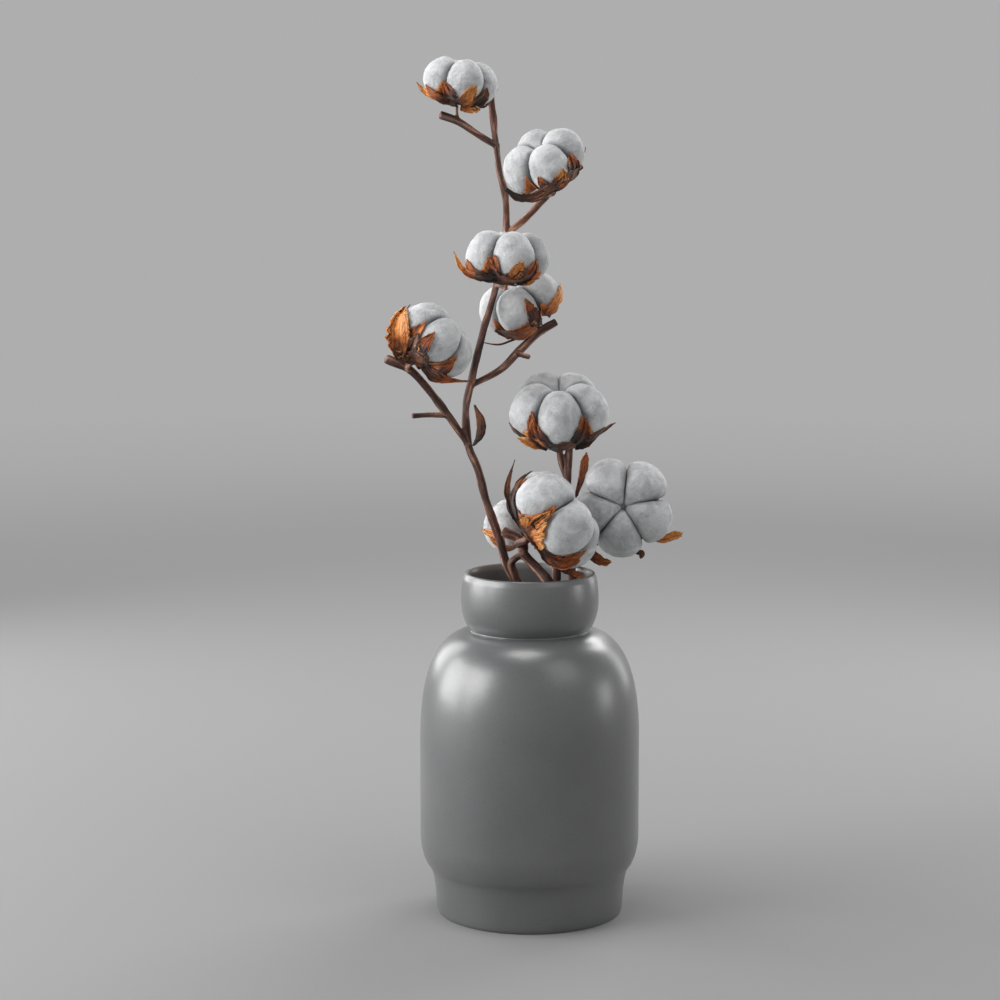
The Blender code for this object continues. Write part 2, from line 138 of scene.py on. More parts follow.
def noise_of(tree, where, scale, detail=4.0, roughness=0.55, distortion=0.0):
    made = add(
        tree, "TexNoise", Vector=where, Scale=scale, Detail=detail, Roughness=roughness,
        Distortion=distortion,
    )
    return made.outputs["Fac"]


def ramp(tree, value, *stops):
    """A colour for each stop (position, colour)."""
    made = add(tree, "ValToRGB", Fac=value)
    elements = made.color_ramp.elements
    while len(elements) < len(stops):
        elements.new(0.5)
    for element, (position, colour) in zip(elements, stops):
        element.position = position
        element.color = (*colour, 1.0)
    return made.outputs["Color"]


MIX_SOCKETS = (0, 6, 7)  # where a Mix node keeps its share and its two colours
MIX_RESULT = 2


def mix(tree, share, first, second, way="MIX"):
    made = tree.nodes.new("ShaderNodeMix")
    made.data_type = "RGBA"
    made.blend_type = way
    for place, value in zip(MIX_SOCKETS, (share, first, second)):
        value = (*value, 1.0) if isinstance(value, tuple) else value
        connect(tree, made.inputs[place], value)
    return made.outputs[MIX_RESULT]


def maths(tree, way, first, second=0.5):
    made = tree.nodes.new("ShaderNodeMath")
    made.operation = way
    for socket, value in zip(made.inputs, (first, second)):
        connect(tree, socket, value)
    return made.outputs[0]


def shaded(tree, colour, shade, share=1.0):
    return mix(tree, share, colour, shade, "MULTIPLY")


def wandering(tree, value, fuzz, by):
    """The value moved to and fro by a noise, by up to half of by."""
    moved = maths(tree, "MULTIPLY", maths(tree, "SUBTRACT", fuzz, 0.5), by)
    return maths(tree, "ADD", value, moved)


def streaks_of(tree, where, scale, *rest):
    """A noise that is drawn out, as its fineness is not the same along each axis."""
    drawn = add(tree, "Mapping", Vector=where, Scale=scale).outputs["Vector"]
    return noise_of(tree, drawn, 1.0, *rest)


def bump(tree, height, distance, strength=1.0, under=None):
    made = add(tree, "Bump", Height=height, Distance=distance, Strength=strength)
    if under:
        tree.links.new(under, made.inputs["Normal"])
    return made.outputs["Normal"]


def new_finish(name, roughness):
    """A material, its node tree and its shader."""
    material = bpy.data.materials.new(name)
    material.use_nodes = True
    shader = material.node_tree.nodes["Principled BSDF"]
    fill(material.node_tree, shader, Roughness=roughness)
    return material, material.node_tree, shader


def place_of(tree):
    return tree.nodes.new("ShaderNodeTexCoord").outputs["Object"]


def attribute_of(tree, name):
    return add(tree, "Attribute", {"attribute_name": name}).outputs["Vector"]


# %% [markdown]
# ## Helpers for pieces
#
# A bmesh is the workbench for a mesh in the making.  When a piece is ready it becomes an
# object whose place is in its mesh, it rides on the frame's one body, and the frame's nodes
# that it stands for are hidden.


# %% Piece helpers
def mesh_from(bm, name):
    mesh = bpy.data.meshes.new(name)
    bm.to_mesh(mesh)
    bm.free()
    return mesh


def bmesh_from(mesh):
    """Takes a mesh over as a bmesh."""
    bm = bmesh.new()
    bm.from_mesh(mesh)
    bpy.data.meshes.remove(mesh)
    return bm


def painted(name, bm, material):
    """A smooth-shaded object with one material."""
    mesh = mesh_from(bm, name)
    mesh.materials.append(material)
    mesh.shade_smooth()
    return new_object(name, mesh)


def finish_piece(name, bm, material, replaced=()):
    piece = painted(name, bm, material)
    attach(piece, "root")
    if replaced:
        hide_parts(*replaced)
    return piece


def mesh_as_seen(thing):
    """A new mesh of an object as its modifiers, or a curve's bevel, leave it."""
    depsgraph = bpy.context.evaluated_depsgraph_get()
    return bpy.data.meshes.new_from_object(thing.evaluated_get(depsgraph))


def apply_modifiers(piece):
    made = mesh_as_seen(piece)
    piece.modifiers.clear()
    old = piece.data
    piece.data = made
    bpy.data.meshes.remove(old)
    made.name = piece.name


def thicken(piece, wall):
    """Gives a sheet its thickness, outward from its face."""
    shell = piece.modifiers.new("thickness", "SOLIDIFY")
    shell.thickness = wall
    shell.offset = 1.0
    apply_modifiers(piece)


def spin_round(points, steps):
    """Spins a line of points once round the upright axis."""
    bm = bmesh.new()
    line = [bm.verts.new(point) for point in points]
    edges = [bm.edges.new(pair) for pair in zip(line, line[1:])]
    bmesh.ops.spin(
        bm, geom=line + edges, axis=(0, 0, 1), cent=(0, 0, 0), angle=2 * math.pi,
        steps=steps, use_merge=True,
    )
    return bm


def close_up(bm, nearness=0.01 * MM):
    """Merges doubled points, as at the poles, and turns the faces outward."""
    bmesh.ops.remove_doubles(bm, verts=bm.verts, dist=nearness)
    bmesh.ops.recalc_face_normals(bm, faces=bm.faces)


def new_sheet(columns, rows):
    """A flat grid, its blade layer and its points, each with its place across and along."""
    bm = bmesh.new()
    bmesh.ops.create_grid(bm, x_segments=columns, y_segments=rows, size=1.0)
    blade = bm.verts.layers.float_vector.new("blade")
    return bm, blade, [(vertex, vertex.co.x, (vertex.co.y + 1) / 2) for vertex in bm.verts]


def wobble(*place):
    """A smooth noise at a place, about -1 to 1."""
    return noise.noise(Vector(place))


def polar(out, bearing, up):
    return Vector((out * math.cos(bearing), out * math.sin(bearing), up))


def triangles(piece):
    return sum(len(face.vertices) - 2 for face in piece.data.polygons)


# %% [markdown]
# ## The vase: shape
#
# The real vase is thrown or cast stoneware: a tall body with high round shoulders, a neck
# that bulges and a soft rolled lip.  Anything turned on a wheel is easiest as one outline
# spun round the axis.  The outline here goes from the middle of the inner floor up the
# inside, over the lip, down the outside and under the foot, so the wall has a real thickness.

# %% Vase outline
VASE_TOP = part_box("vase")[1].z / MM
WALL = 5.0
FLOOR_THICKNESS = 8.0
NECK = dict(centre=(30.0, 220.0), bulge=17.8, rise=42.0, drop=26.2)
SHOULDER = dict(centre=(36.0, 120.0), size=(40.5, 80.0), power=2.5)
BELLY = dict(centre=(64.5, 56.0), size=(12.0, 26.0))
INNER_BELLY = (42.0, 70.0)
LIP_RADIUS = 1.5
LIP_MIDDLE = (43.9, VASE_TOP - LIP_RADIUS)
LIP_STEPS = 8
FOOT = [
    (69.2, 31.3), (68.4, 29.6), (67.8, 27.3), (67.2, 24.7), (66.7, 21.6), (66.2, 18.0),
    (65.7, 12.5), (65.3, 6.5), (65.0, 3.0), (64.7, 1.6), (64.1, 0.6), (63.1, 0.1), (62.0, 0.0),
]


def oval_arc(centre, size, start, end, steps, power=2.0):
    """Points (radius, height) on an oval, between two angles in degrees."""
    points = []
    for i in range(steps + 1):
        a = math.radians(start + (end - start) * i / steps)
        out = abs(math.cos(a)) ** (2 / power) * size[0]
        up = math.copysign(abs(math.sin(a)) ** (2 / power), a) * size[1]
        points.append((centre[0] + out, centre[1] + up))
    return points


def vase_side(inset):
    """The wall from under the lip down to the belly, moved in by inset."""
    bulge = NECK["bulge"] - inset
    upper = oval_arc(NECK["centre"], (bulge, NECK["rise"]), 24, 0, 8)
    lower = oval_arc(NECK["centre"], (bulge, NECK["drop"]), 0, -50, 14)[1:]
    size = [s - inset for s in SHOULDER["size"]]
    shoulder = oval_arc(SHOULDER["centre"], size, 84.5, 0, 36, SHOULDER["power"])
    return upper + lower + shoulder


def vase_outline():
    depth = INNER_BELLY[1] - FLOOR_THICKNESS
    width = SHOULDER["centre"][0] + SHOULDER["size"][0] - WALL - INNER_BELLY[0]
    inside = vase_side(WALL) + oval_arc(INNER_BELLY, (width, depth), 0, -90, 14)
    lip = [
        (LIP_MIDDLE[0] + LIP_RADIUS * math.cos(a), LIP_MIDDLE[1] + LIP_RADIUS * math.sin(a))
        for a in (math.radians(180 - 180 / LIP_STEPS * k) for k in range(LIP_STEPS + 1))
    ]
    belly = oval_arc(BELLY["centre"], BELLY["size"], 0, -62, 16)[1:]
    outside = vase_side(0.0) + belly + FOOT
    return [(0.0, FLOOR_THICKNESS)] + inside[::-1] + lip + outside + [(0.0, 0.0)]


print("vase outline:", len(vase_outline()), "points")

# %% Spin the vase
VASE_STEPS = 144


def make_vase():
    bm = spin_round([(r * MM, 0, z * MM) for r, z in vase_outline()], VASE_STEPS)
    close_up(bm)
    return bm


# %% [markdown]
# ## The vase: glaze
#
# The glaze is a mid grey satin.  Two things keep it from looking like plastic: a tone that
# wanders a little over a few centimetres, as a sprayed glaze does, and a very fine
# orange-peel ripple that breaks up the highlights.  A thin clear coat gives the second,
# sharper glint of fired glass over the soft one below.  Inside the neck the grey is painted
# paler: painted light that lifts the shaded inside of the mouth.


# %% Glaze and vase
MOUTH_RADIUS = 43.6 * MM  # inside this radius, above this height, is the inside of the neck
MOUTH_LOWEST = 215 * MM
# Painted light: a paler grey for the shaded inside of the neck.
MOUTH_PAINTED_LIGHT = (0.300, 0.304, 0.306)


def make_glaze():
    material, tree, shader = new_finish("satin_grey_glaze", 0.42)
    place = place_of(tree)
    cloud = noise_of(tree, place, 14.0, 3.0)
    tone = ramp(tree, cloud, (0.35, (0.104, 0.106, 0.108)), (0.65, (0.122, 0.124, 0.126)))
    fine = noise_of(tree, place, 900.0, 2.0)
    fleck = ramp(tree, fine, (0.30, (0.82, 0.82, 0.82)), (0.42, (1, 1, 1)))
    parts = add(tree, "SeparateXYZ", Vector=place).outputs
    across = add(tree, "CombineXYZ", X=parts["X"], Y=parts["Y"]).outputs["Vector"]
    radius = add(tree, "VectorMath", {"operation": "LENGTH"}, Vector=across).outputs["Value"]
    # Mask of the painted light inside the mouth: inside the radius and above the height.
    inner = maths(tree, "LESS_THAN", radius, MOUTH_RADIUS)
    inner = maths(tree, "MULTIPLY", inner, maths(tree, "GREATER_THAN", parts["Z"], MOUTH_LOWEST))
    tone = mix(tree, inner, tone, MOUTH_PAINTED_LIGHT)
    colour = shaded(tree, tone, fleck)
    rough = add(tree, "MapRange", Value=noise_of(tree, place, 40.0, 3.0), To_Min=0.30, To_Max=0.42)
    peel = bump(tree, noise_of(tree, place, 420.0, 2.0), 0.05 * MM)
    wave = bump(tree, noise_of(tree, place, 45.0, 2.0), 0.25 * MM, under=peel)
    fill(
        tree, shader, Base_Color=colour, Roughness=rough.outputs["Result"], Normal=wave,
        Specular_IOR_Level=0.75, Coat_Weight=0.55, Coat_Roughness=0.26,
    )
    return material


vase = finish_piece("vase_body", make_vase(), make_glaze(), ["vase"])
print("vase:", triangles(vase), "triangles")

# %% [markdown]
# ## The stems: routes
#
# Each stem is one grown thing with forks, cut side shoots and the short stalks of its bolls.
# A stem is a tube along a bent line, so its shape is a list of points (x, y, z, radius) in
# millimetres, the same lines that the frame's stems follow.

# %% Stem routes
STEMS = {
    "stem_tall": [
        [(38, 10, 9.8, 3.3), (24, 18, 90, 3.3), (8, 28, 170, 3.2), (2, 30, 205, 3.2),
         (-10, 28, 230, 3.2), (-16.5, 28, 243, 3.3), (-22, 28, 262, 3.1), (-30.5, 28, 287, 3.0),
         (-36, 28, 308, 2.9), (-43, 28, 326, 3.1), (-44.5, 30, 350, 2.7), (-41, 32, 369, 2.8),
         (-35, 34, 395, 2.6), (-28, 36, 420, 2.5), (-23, 38, 438, 2.5), (-19, 38, 458, 2.4),
         (-16.5, 38, 474, 2.5), (-17, 38, 499, 2.4), (-21, 38, 515, 2.3), (-23.5, 39, 535, 2.3),
         (-27, 41, 567.5, 2.5)],
        [(-43, 28, 326, 2.3), (-55.5, 22, 345, 2.7), (-69, 14, 364, 2.8), (-83, 8, 380, 2.9),
         (-99, 4, 388, 2.8)],
        [(-57, 21.2, 347, 1.6), (-70, 14, 348, 1.9), (-81.5, 8, 348, 2.0)],
        [(-41, 32, 367, 2.0), (-21, 42, 377, 2.7), (-7, 52, 390, 2.9), (8, 60, 403, 2.9),
         (19, 64, 409.5, 2.9)],
        [(-9, 50.6, 388, 1.6), (0, 44, 386, 1.8)],
        [(-16.4, 38, 472, 2.0), (-3, 36.5, 483, 2.3), (10, 34, 497, 2.5), (22, 32, 509, 2.6),
         (36, 29, 520, 2.5)],
        [(-23.4, 39, 533, 2.0), (-38, 30, 542, 2.6), (-49.5, 22, 549.5, 2.8), (-62, 18, 554, 3.0)],
    ],
    "stem_front": [
        [(34, -24, 9.6, 3.2), (30, -22, 100, 3.2), (26, -19, 180, 3.1), (21, -14, 212, 3.0),
         (13, -6, 233, 3.3), (5, -1, 243, 3.5), (-4, 1, 252, 3.5), (-5, 3, 259, 3.6),
         (-10, 5, 264, 3.4), (-19, 6, 268, 3.3)],
        [(-4.2, 1.2, 253, 2.2), (-11, 3.5, 248.5, 2.9), (-13, 5.5, 244.5, 2.9),
         (-10, 7, 236, 2.7), (-6, 8, 222, 2.5), (-4, 8.5, 206, 2.4)],
    ],
    "stem_middle": [
        [(-20, 30, 9.6, 3.2), (-8, 24, 90, 3.2), (8, 17, 165, 3.1), (17, 15, 208, 3.1),
         (19, 24, 240, 3.0), (22, 34, 262, 3.0), (25, 36, 284, 3.0), (26.5, 31, 301, 3.0),
         (28, 31, 326, 2.9)],
    ],
    "stem_right": [
        [(14, -34, 9.6, 3.0), (20, -24, 90, 3.0), (28, -9, 170, 2.9), (31, 2, 208, 2.9),
         (30, 20, 240, 2.8), (40, 43, 250, 2.7), (53, 62, 259, 2.6), (62, 73, 268, 2.6)],
    ],
}
# The stalk of each boll: its stem and its route, up to the bur
STALKS = {
    1: ("stem_tall", [(-49.4, 22, 550, 1.2), (-50.4, 20.5, 556, 1.2)]),
    2: ("stem_tall", [(12, 33.8, 499, 1.5), (15.5, 25, 500.5, 1.7)]),
    3: ("stem_tall", [(-23, 37.9, 437, 1.7), (-20, 22, 437, 1.8), (-17.4, 7, 436, 1.8)]),
    4: ("stem_tall", [(9, 60.6, 403.6, 1.8), (7.6, 63.5, 404.5, 2.4)]),
    5: ("stem_tall", [(-84, 7.8, 380.6, 1.7), (-83.4, 3.5, 383, 2.1)]),
    6: ("stem_middle", [(26.4, 31.4, 300, 1.9), (22, 31, 314, 2.3)]),
    7: ("stem_right", [(62, 73, 268, 1.8), (67, 69, 274, 2.5)]),
    8: ("stem_front", [(-5.2, 3, 260, 2.4), (-8, -8, 261, 2.8), (-8, -16, 262.6, 2.8)]),
    9: ("stem_middle", [(19.6, 26, 245, 1.9), (14, 44, 246, 2.2), (8.5, 57, 247.5, 2.2)]),
}
print("stems:", len(STEMS), "shoots:", sum(map(len, STEMS.values())), "stalks:", len(STALKS))

# %% [markdown]
# ## Where each boll stands
#
# A boll is the open fruit: a woody cup, the bur, with four or five locks of cotton round its
# middle.  The frame has a plain solid for each lock.  The middles of a boll's locks lie on a
# ring, and that ring gives everything else: its centre and its plane give the boll's axis,
# and its radius gives the boll's size.

# %% Measure the bolls
LOCK_COUNTS = {1: 4, 2: 4, 3: 4, 4: 4, 5: 5, 6: 5, 7: 5, 8: 5, 9: 5}
RING_RADIUS = {4: 0.551, 5: 0.566}  # shares of the boll's size
RING_HEIGHT = 0.6575


def middle(node):
    """The middle of a node's surface."""
    total, area = Vector(), 0.0
    for face in frame["nodes"][node].data.polygons:
        total += face.center * face.area
        area += face.area
    return total / area


def measure_boll(number):
    count = LOCK_COUNTS[number]
    middles = [middle(f"boll_{number}_lock_{k + 1}") for k in range(count)]
    centre = sum(middles, Vector()) / count
    spokes = [m - centre for m in middles]
    axis = sum((a.cross(b) for a, b in zip(spokes, spokes[1:])), Vector()).normalized()
    size = sum(s.length for s in spokes) / count / RING_RADIUS[count]
    base = centre - axis * RING_HEIGHT * size
    turn = UP.rotation_difference(axis).to_matrix().to_4x4()
    first = turn.inverted() @ spokes[0]
    return dict(
        number=number, count=count, size=size, axis=axis, base=base,
        place=Matrix.Translation(base) @ turn, spin=math.atan2(first.y, first.x),
    )


bolls = {number: measure_boll(number) for number in LOCK_COUNTS}
for number, boll in bolls.items():
    print("boll", number, "size", round(boll["size"] / MM, 1), "mm, locks", boll["count"])

# %% [markdown]
# ## The stems: shape
#
# The bent line is first smoothed, then a round face is extruded from point to point along it.
# Each step turns the face by just the turn of the line, so the tube never twists.  Tubes that
# cross at a fork are not yet one body: a voxel remesh wraps a single skin round all of them,
# with the soft web in each fork that wood has.  Knots at the forks are small balls that the
# remesh melts in.

# %% Tubes along a line
SPAN_STEPS = 8
TUBE_SIDES = 16
STALK_LEAD = 2.5
STALK_GAP = 0.3


def smooth_line(route):
    """Points on a smooth curve through the route's own points (Catmull-Rom)."""
    known = [Vector(p) for p in route]
    ends = [2 * known[0] - known[1]] + known + [2 * known[-1] - known[-2]]
    points = []
    for a, b, c, d in zip(ends, ends[1:], ends[2:], ends[3:]):
        for i in range(SPAN_STEPS):
            t = i / SPAN_STEPS
            bend = (2 * a - 5 * b + 4 * c - d) * t * t + (3 * b - a - 3 * c + d) * t**3
            points.append((2 * b + (c - a) * t + bend) / 2)
    return points + [known[-1]]


def line_frames(points):
    """For each point a matrix that places a unit disc there, square to the line."""
    places = [p.to_3d() * MM for p in points]
    radii = [p.w * MM for p in points]
    ways = [(b - a).normalized() for a, b in zip([places[0]] + places, places[1:] + [places[-1]])]
    turn = UP.rotation_difference(ways[0])
    frames = []
    before = ways[0]
    for place, radius, way in zip(places, radii, ways):
        turn = before.rotation_difference(way) @ turn
        before = way
        frames.append(
            Matrix.Translation(place)
            @ turn.to_matrix().to_4x4()
            @ Matrix.Diagonal((radius, radius, radius, 1.0))
        )
    return frames


def sweep(bm, frames):
    """Extrudes a round face from frame to frame."""
    disc = bmesh.ops.create_circle(
        bm, cap_ends=True, segments=TUBE_SIDES, radius=1.0, matrix=frames[0]
    )
    face = disc["verts"][0].link_faces[0]
    for before, after in zip(frames, frames[1:]):
        grown = bmesh.ops.extrude_face_region(bm, geom=[face])["geom"]
        face = next(g for g in grown if isinstance(g, bmesh.types.BMFace))
        bmesh.ops.transform(bm, matrix=after @ before.inverted(), verts=face.verts)


def stem_lines(name):
    """The smooth lines of a stem's shoots and of the stalks on it."""
    lines = [smooth_line(route) for route in STEMS[name]]
    for number, (owner, route) in STALKS.items():
        if owner == name:
            axis, base = bolls[number]["axis"], bolls[number]["base"] / MM
            thick = route[-1][3]
            lead = [(*(base - axis * STALK_LEAD), thick)]
            end = Vector((*(base - axis * STALK_GAP), thick))
            lines.append(smooth_line(route + lead) + [end])
    return lines


# %% Knots and skin
VOXEL = 0.75 * MM
KNOT_SWELL = 1.4
KNOT_LUMPS = (400, 0.25)  # fineness, and height as a share of the knot's radius
MOUTH = 235 * MM
MOUTH_REACH = 40 * MM
MOUTH_ROUGHER = 1.3
# Noises of the bark: fineness across the shoot, fineness along it, height in mm
RIDGES = (480, 70, 0.26)
LUMPS = (130, 75, 0.45)
RINGS = (42, 1.5)  # fineness along the shoot, height in mm
RINGS_FROM = 0.22
rng = random.Random(11)


def wrap_in_one_skin(name, bm):
    """Voxel remesh of everything in the bmesh, back as a bmesh."""
    rough = new_object(name, mesh_from(bm, name))
    skin = rough.modifiers.new("skin", "REMESH")
    skin.mode = "VOXEL"
    skin.voxel_size = VOXEL
    apply_modifiers(rough)
    mesh = rough.data
    bpy.data.objects.remove(rough)
    return bmesh_from(mesh)


def add_knot(bm, frames, swell):
    """A lumpy ball round the start of a shoot."""
    place, _, scale = frames[0].decompose()
    ball = bmesh.ops.create_icosphere(
        bm, subdivisions=3, radius=scale.x * swell, matrix=Matrix.Translation(place)
    )
    for vertex in ball["verts"]:
        lump = noise.noise(vertex.co * KNOT_LUMPS[0])
        vertex.co += (vertex.co - place) * KNOT_LUMPS[1] * lump


def bark_relief(across, along, seed, height):
    """How far the bark stands out at a place on the tube, in metres.

    It is knobbliest where the stems cross in the vase's mouth.
    """
    rough = 1 + MOUTH_ROUGHER * max(0.0, 1 - abs(height - MOUTH) / MOUTH_REACH)

    def wave(fine, fine_along, shift):
        return wobble(across.x * fine, across.y * fine, along * fine_along + shift)

    ridges = wave(RIDGES[0], RIDGES[1], seed)
    lumps = wave(LUMPS[0], LUMPS[1], 7 * seed)
    rings = max(0.0, wobble(seed, 3.1, along * RINGS[0]) - RINGS_FROM)
    return (RIDGES[2] * ridges + LUMPS[2] * rough * lumps + RINGS[1] * rough * rings) * MM


GRAIN_APART = 5.0  # keeps the grain of one shoot from repeating on the next


def make_stem(name):
    """One skin over a stem's tubes, with bark relief and the grain's own coordinates."""
    bm = bmesh.new()
    lines = stem_lines(name)
    samples = []
    for number, line in enumerate(lines):
        frames = line_frames(line)
        sweep(bm, frames)
        if number:
            add_knot(bm, frames, KNOT_SWELL)
        along = GRAIN_APART * number
        for before, after in zip(frames, frames[1:]):
            a, b = before.to_translation(), after.to_translation()
            steps = max(1, round((b - a).length / MM))
            for i in range(steps):
                place = a.lerp(b, i / steps)
                samples.append((place, before, along + (place - a).length, number))
            along += (b - a).length
    bm = wrap_in_one_skin(name, bm)
    for _ in range(2):
        bmesh.ops.smooth_vert(
            bm, verts=bm.verts, factor=0.5, use_axis_x=True, use_axis_y=True, use_axis_z=True
        )
    tree = KDTree(len(samples))
    for index, (place, *_) in enumerate(samples):
        tree.insert(place, index)
    tree.balance()
    grain = bm.verts.layers.float_vector.new("grain")
    bm.normal_update()
    shifts = []
    for vertex in bm.verts:
        place, disc, along, number = samples[tree.find(vertex.co)[1]]
        across = disc.to_3x3().normalized().transposed() @ (vertex.co - place)
        run = along + across.z
        vertex[grain] = (across.x, across.y, run)
        shifts.append(vertex.normal * bark_relief(across, run, number, vertex.co.z))
    for vertex, shift in zip(bm.verts, shifts):
        vertex.co += shift
    return bm


# %% [markdown]
# ## The stems: bark
#
# Dry cotton wood has thin bark: purple-brown, with tan streaks that run along the shoot where
# the skin has worn, and dark specks.  The streaks have to follow every bend, so they read the
# grain coordinates that were written on the mesh: two across the shoot and one along it.


# %% Bark and stems
def make_bark():
    material, tree, shader = new_finish("dry_bark", 0.72)
    grain = attribute_of(tree, "grain")
    long_streaks = streaks_of(tree, grain, (270, 270, 34), 5.0, 0.62)
    patches = streaks_of(tree, grain, (90, 90, 32), 3.0)
    body = ramp(
        tree, long_streaks,
        (0.34, (0.020, 0.009, 0.007)), (0.45, (0.075, 0.032, 0.023)),
        (0.53, (0.160, 0.080, 0.056)), (0.62, (0.420, 0.270, 0.195)),
    )
    warm = ramp(tree, patches, (0.38, (0.50, 0.47, 0.52)), (0.62, (1.45, 1.25, 1.12)))
    colour = shaded(tree, body, warm)
    specks = ramp(tree, streaks_of(tree, grain, (1500, 1500, 700), 2.0),
                  (0.34, (0.35, 0.30, 0.28)), (0.44, (1, 1, 1)))
    colour = shaded(tree, colour, specks, 0.8)
    fibres = streaks_of(tree, grain, (2400, 2400, 150), 4.0)
    fill(tree, shader, Base_Color=colour, Normal=bump(tree, fibres, 0.18 * MM, 0.9))
    return material


bark = make_bark()
for name in STEMS:
    stem = finish_piece(name + "_wood", make_stem(name), bark, [name])
    print(name, triangles(stem), "triangles")

# %% [markdown]
# ## The cotton: shape
#
# Each lock is a tuft of fibre that swelled out of its own chamber, so it is an egg with flat
# flanks beside its neighbours and a narrow end towards the boll's axis.  A cube cut into
# small squares and blown up to a ball has no poles to pinch, which makes it the best start.
# Its points are then moved on to the egg, eased into the lock's wedge, and pushed in and out
# by slow noise for soft dents and by faster noise for tufts.

# %% Lock shape
LOCK_OUT = 0.53
LOCK_UP = 0.66
LOCK_SEMI = (0.49, 0.52, 0.58)
LOCK_TILT = math.radians(20)
LOCK_CUTS = 27
WEDGE_EASE = 0.70  # past this share of the wedge the flank is eased in
WEDGE_GAP = 0.1 * MM
NARROW = 0.012
NARROW_EASE = 0.07
CORE_UP = 0.54
CORE_RADIUS = 0.27
# Noises of the cotton: fineness, height in mm
DENTS = (62, 1.0)
TUFTS = (165, 0.34)
LINT = (520, 0.11)
CREASES = (75, 28, 9, 0.22)  # fineness across and along, sharpness, depth in mm
CORE_LUMPS = (300, 0.4)


def lock_bearings(boll):
    return [boll["spin"] + 2 * math.pi * k / boll["count"] for k in range(boll["count"])]


def lock_matrix(size, bearing, swell=1.0):
    """Takes the unit ball to a lock's egg, in the boll's upright frame."""
    turn = Matrix.Rotation(bearing, 4, "Z")
    move = Matrix.Translation((LOCK_OUT * size, 0, LOCK_UP * size))
    tilt = Matrix.Rotation(-LOCK_TILT, 4, "Y")
    return turn @ move @ tilt @ Matrix.Diagonal((*(s * size * swell for s in LOCK_SEMI), 1.0))


def ease_into_wedge(p, size, half):
    """Keeps a point of a lock (x outward, y sideways) inside the lock's wedge, softly.

    Also says how close the point is to the wedge's flank: 1 on the flank.
    """
    low, knee = NARROW * size, NARROW_EASE * size
    if p.x < low + knee:
        p.x = low + knee * math.exp((p.x - low - knee) / knee)
    limit = p.x * math.tan(half) - WEDGE_GAP
    share = abs(p.y) / limit
    if share > WEDGE_EASE:
        room = 1 - WEDGE_EASE
        share = WEDGE_EASE + room * math.tanh((share - WEDGE_EASE) / room)
        p.y = math.copysign(share * limit, p.y)
    return p, share


def cotton_relief(p, seed):
    """Dents, tufts and lint on a lock, in metres outward."""
    at = p + Vector((seed, 2 * seed, 0))
    across, along, sharp, depth = CREASES
    fold = wobble(at.x * across, at.y * across, at.z * along)
    crease = 1 - min(1.0, abs(fold) * sharp)
    dents, tufts, lint = (high * noise.noise(at * fine) for fine, high in (DENTS, TUFTS, LINT))
    return (dents + tufts + lint - depth * crease) * MM


def make_lock(boll, k):
    size, half = boll["size"], math.pi / boll["count"]
    bearing = lock_bearings(boll)[k]
    bm = bmesh.new()
    bmesh.ops.create_cube(bm, size=2.0)
    bmesh.ops.subdivide_edges(bm, edges=bm.edges, cuts=LOCK_CUTS, use_grid_fill=True)
    upright = Matrix.Rotation(-bearing, 4, "Z")
    shape = upright @ lock_matrix(size, bearing)
    core = shape.to_translation()
    cleft_shade_mask = bm.verts.layers.float_vector.new("cleft_shade_mask")
    for vertex in bm.verts:
        p, share = ease_into_wedge(shape @ vertex.co.normalized(), size, half)
        # The share across the wedge is kept as the mask for the painted shade in the clefts.
        vertex[cleft_shade_mask] = (share, p.z / size, 0.0)
        out = (p - core).normalized()
        vertex.co = p + out * cotton_relief(p, boll["number"] + k / 7)
    bmesh.ops.transform(bm, matrix=boll["place"] @ upright.inverted(), verts=bm.verts)
    bmesh.ops.recalc_face_normals(bm, faces=bm.faces)
    return bm


# %% [markdown]
# ## The cotton: finish
#
# Cotton scatters light inside itself, so its shadows are soft and grey rather than black.
# Subsurface scattering gives that, and sheen adds the pale rim of fine fibres seen edge-on.
# A stretched noise stands for the fibres themselves, and painted shade greys the cotton
# where the locks meet, in place of the shade that falls into the clefts between them.


# %% Cotton finish and locks
def make_cotton():
    material, tree, shader = new_finish("cotton_fibre", 0.95)
    place = place_of(tree)
    tone = ramp(tree, noise_of(tree, place, 75.0, 5.0, 0.62, 0.9),
                (0.34, (0.420, 0.431, 0.441)), (0.60, (0.615, 0.621, 0.626)))
    strands = noise_of(tree, place, 520.0, 6.0, 0.65, 1.6)
    shade = ramp(tree, strands, (0.30, (0.80, 0.80, 0.81)), (0.58, (1, 1, 1)))
    colour = shaded(tree, tone, shade)
    # Painted shade: the cotton turns darker grey towards the flanks where the locks meet, standing
    # in for the shade in the clefts.
    cleft_shade_mask = add(tree, "SeparateXYZ", Vector=attribute_of(tree, "cleft_shade_mask")).outputs["X"]
    wavy_cleft_shade_mask = wandering(tree, cleft_shade_mask, noise_of(tree, place, 130.0), 0.25)
    painted_cleft_shade = ramp(tree, wavy_cleft_shade_mask, (0.66, (1, 1, 1)), (0.97, (0.52, 0.53, 0.54)))
    colour = shaded(tree, colour, painted_cleft_shade)
    lint = bump(tree, strands, 0.45 * MM, 0.8)
    tufts = bump(tree, noise_of(tree, place, 230.0, 5.0, 0.6, 0.8), 1.2 * MM, 0.6, under=lint)
    fill(
        tree, shader, Base_Color=colour, Normal=tufts, Specular_IOR_Level=0.1,
        Subsurface_Weight=0.35, Subsurface_Radius=(1.0, 0.95, 0.9), Subsurface_Scale=2.5 * MM,
        Sheen_Weight=0.25, Sheen_Roughness=0.6,
    )
    return material


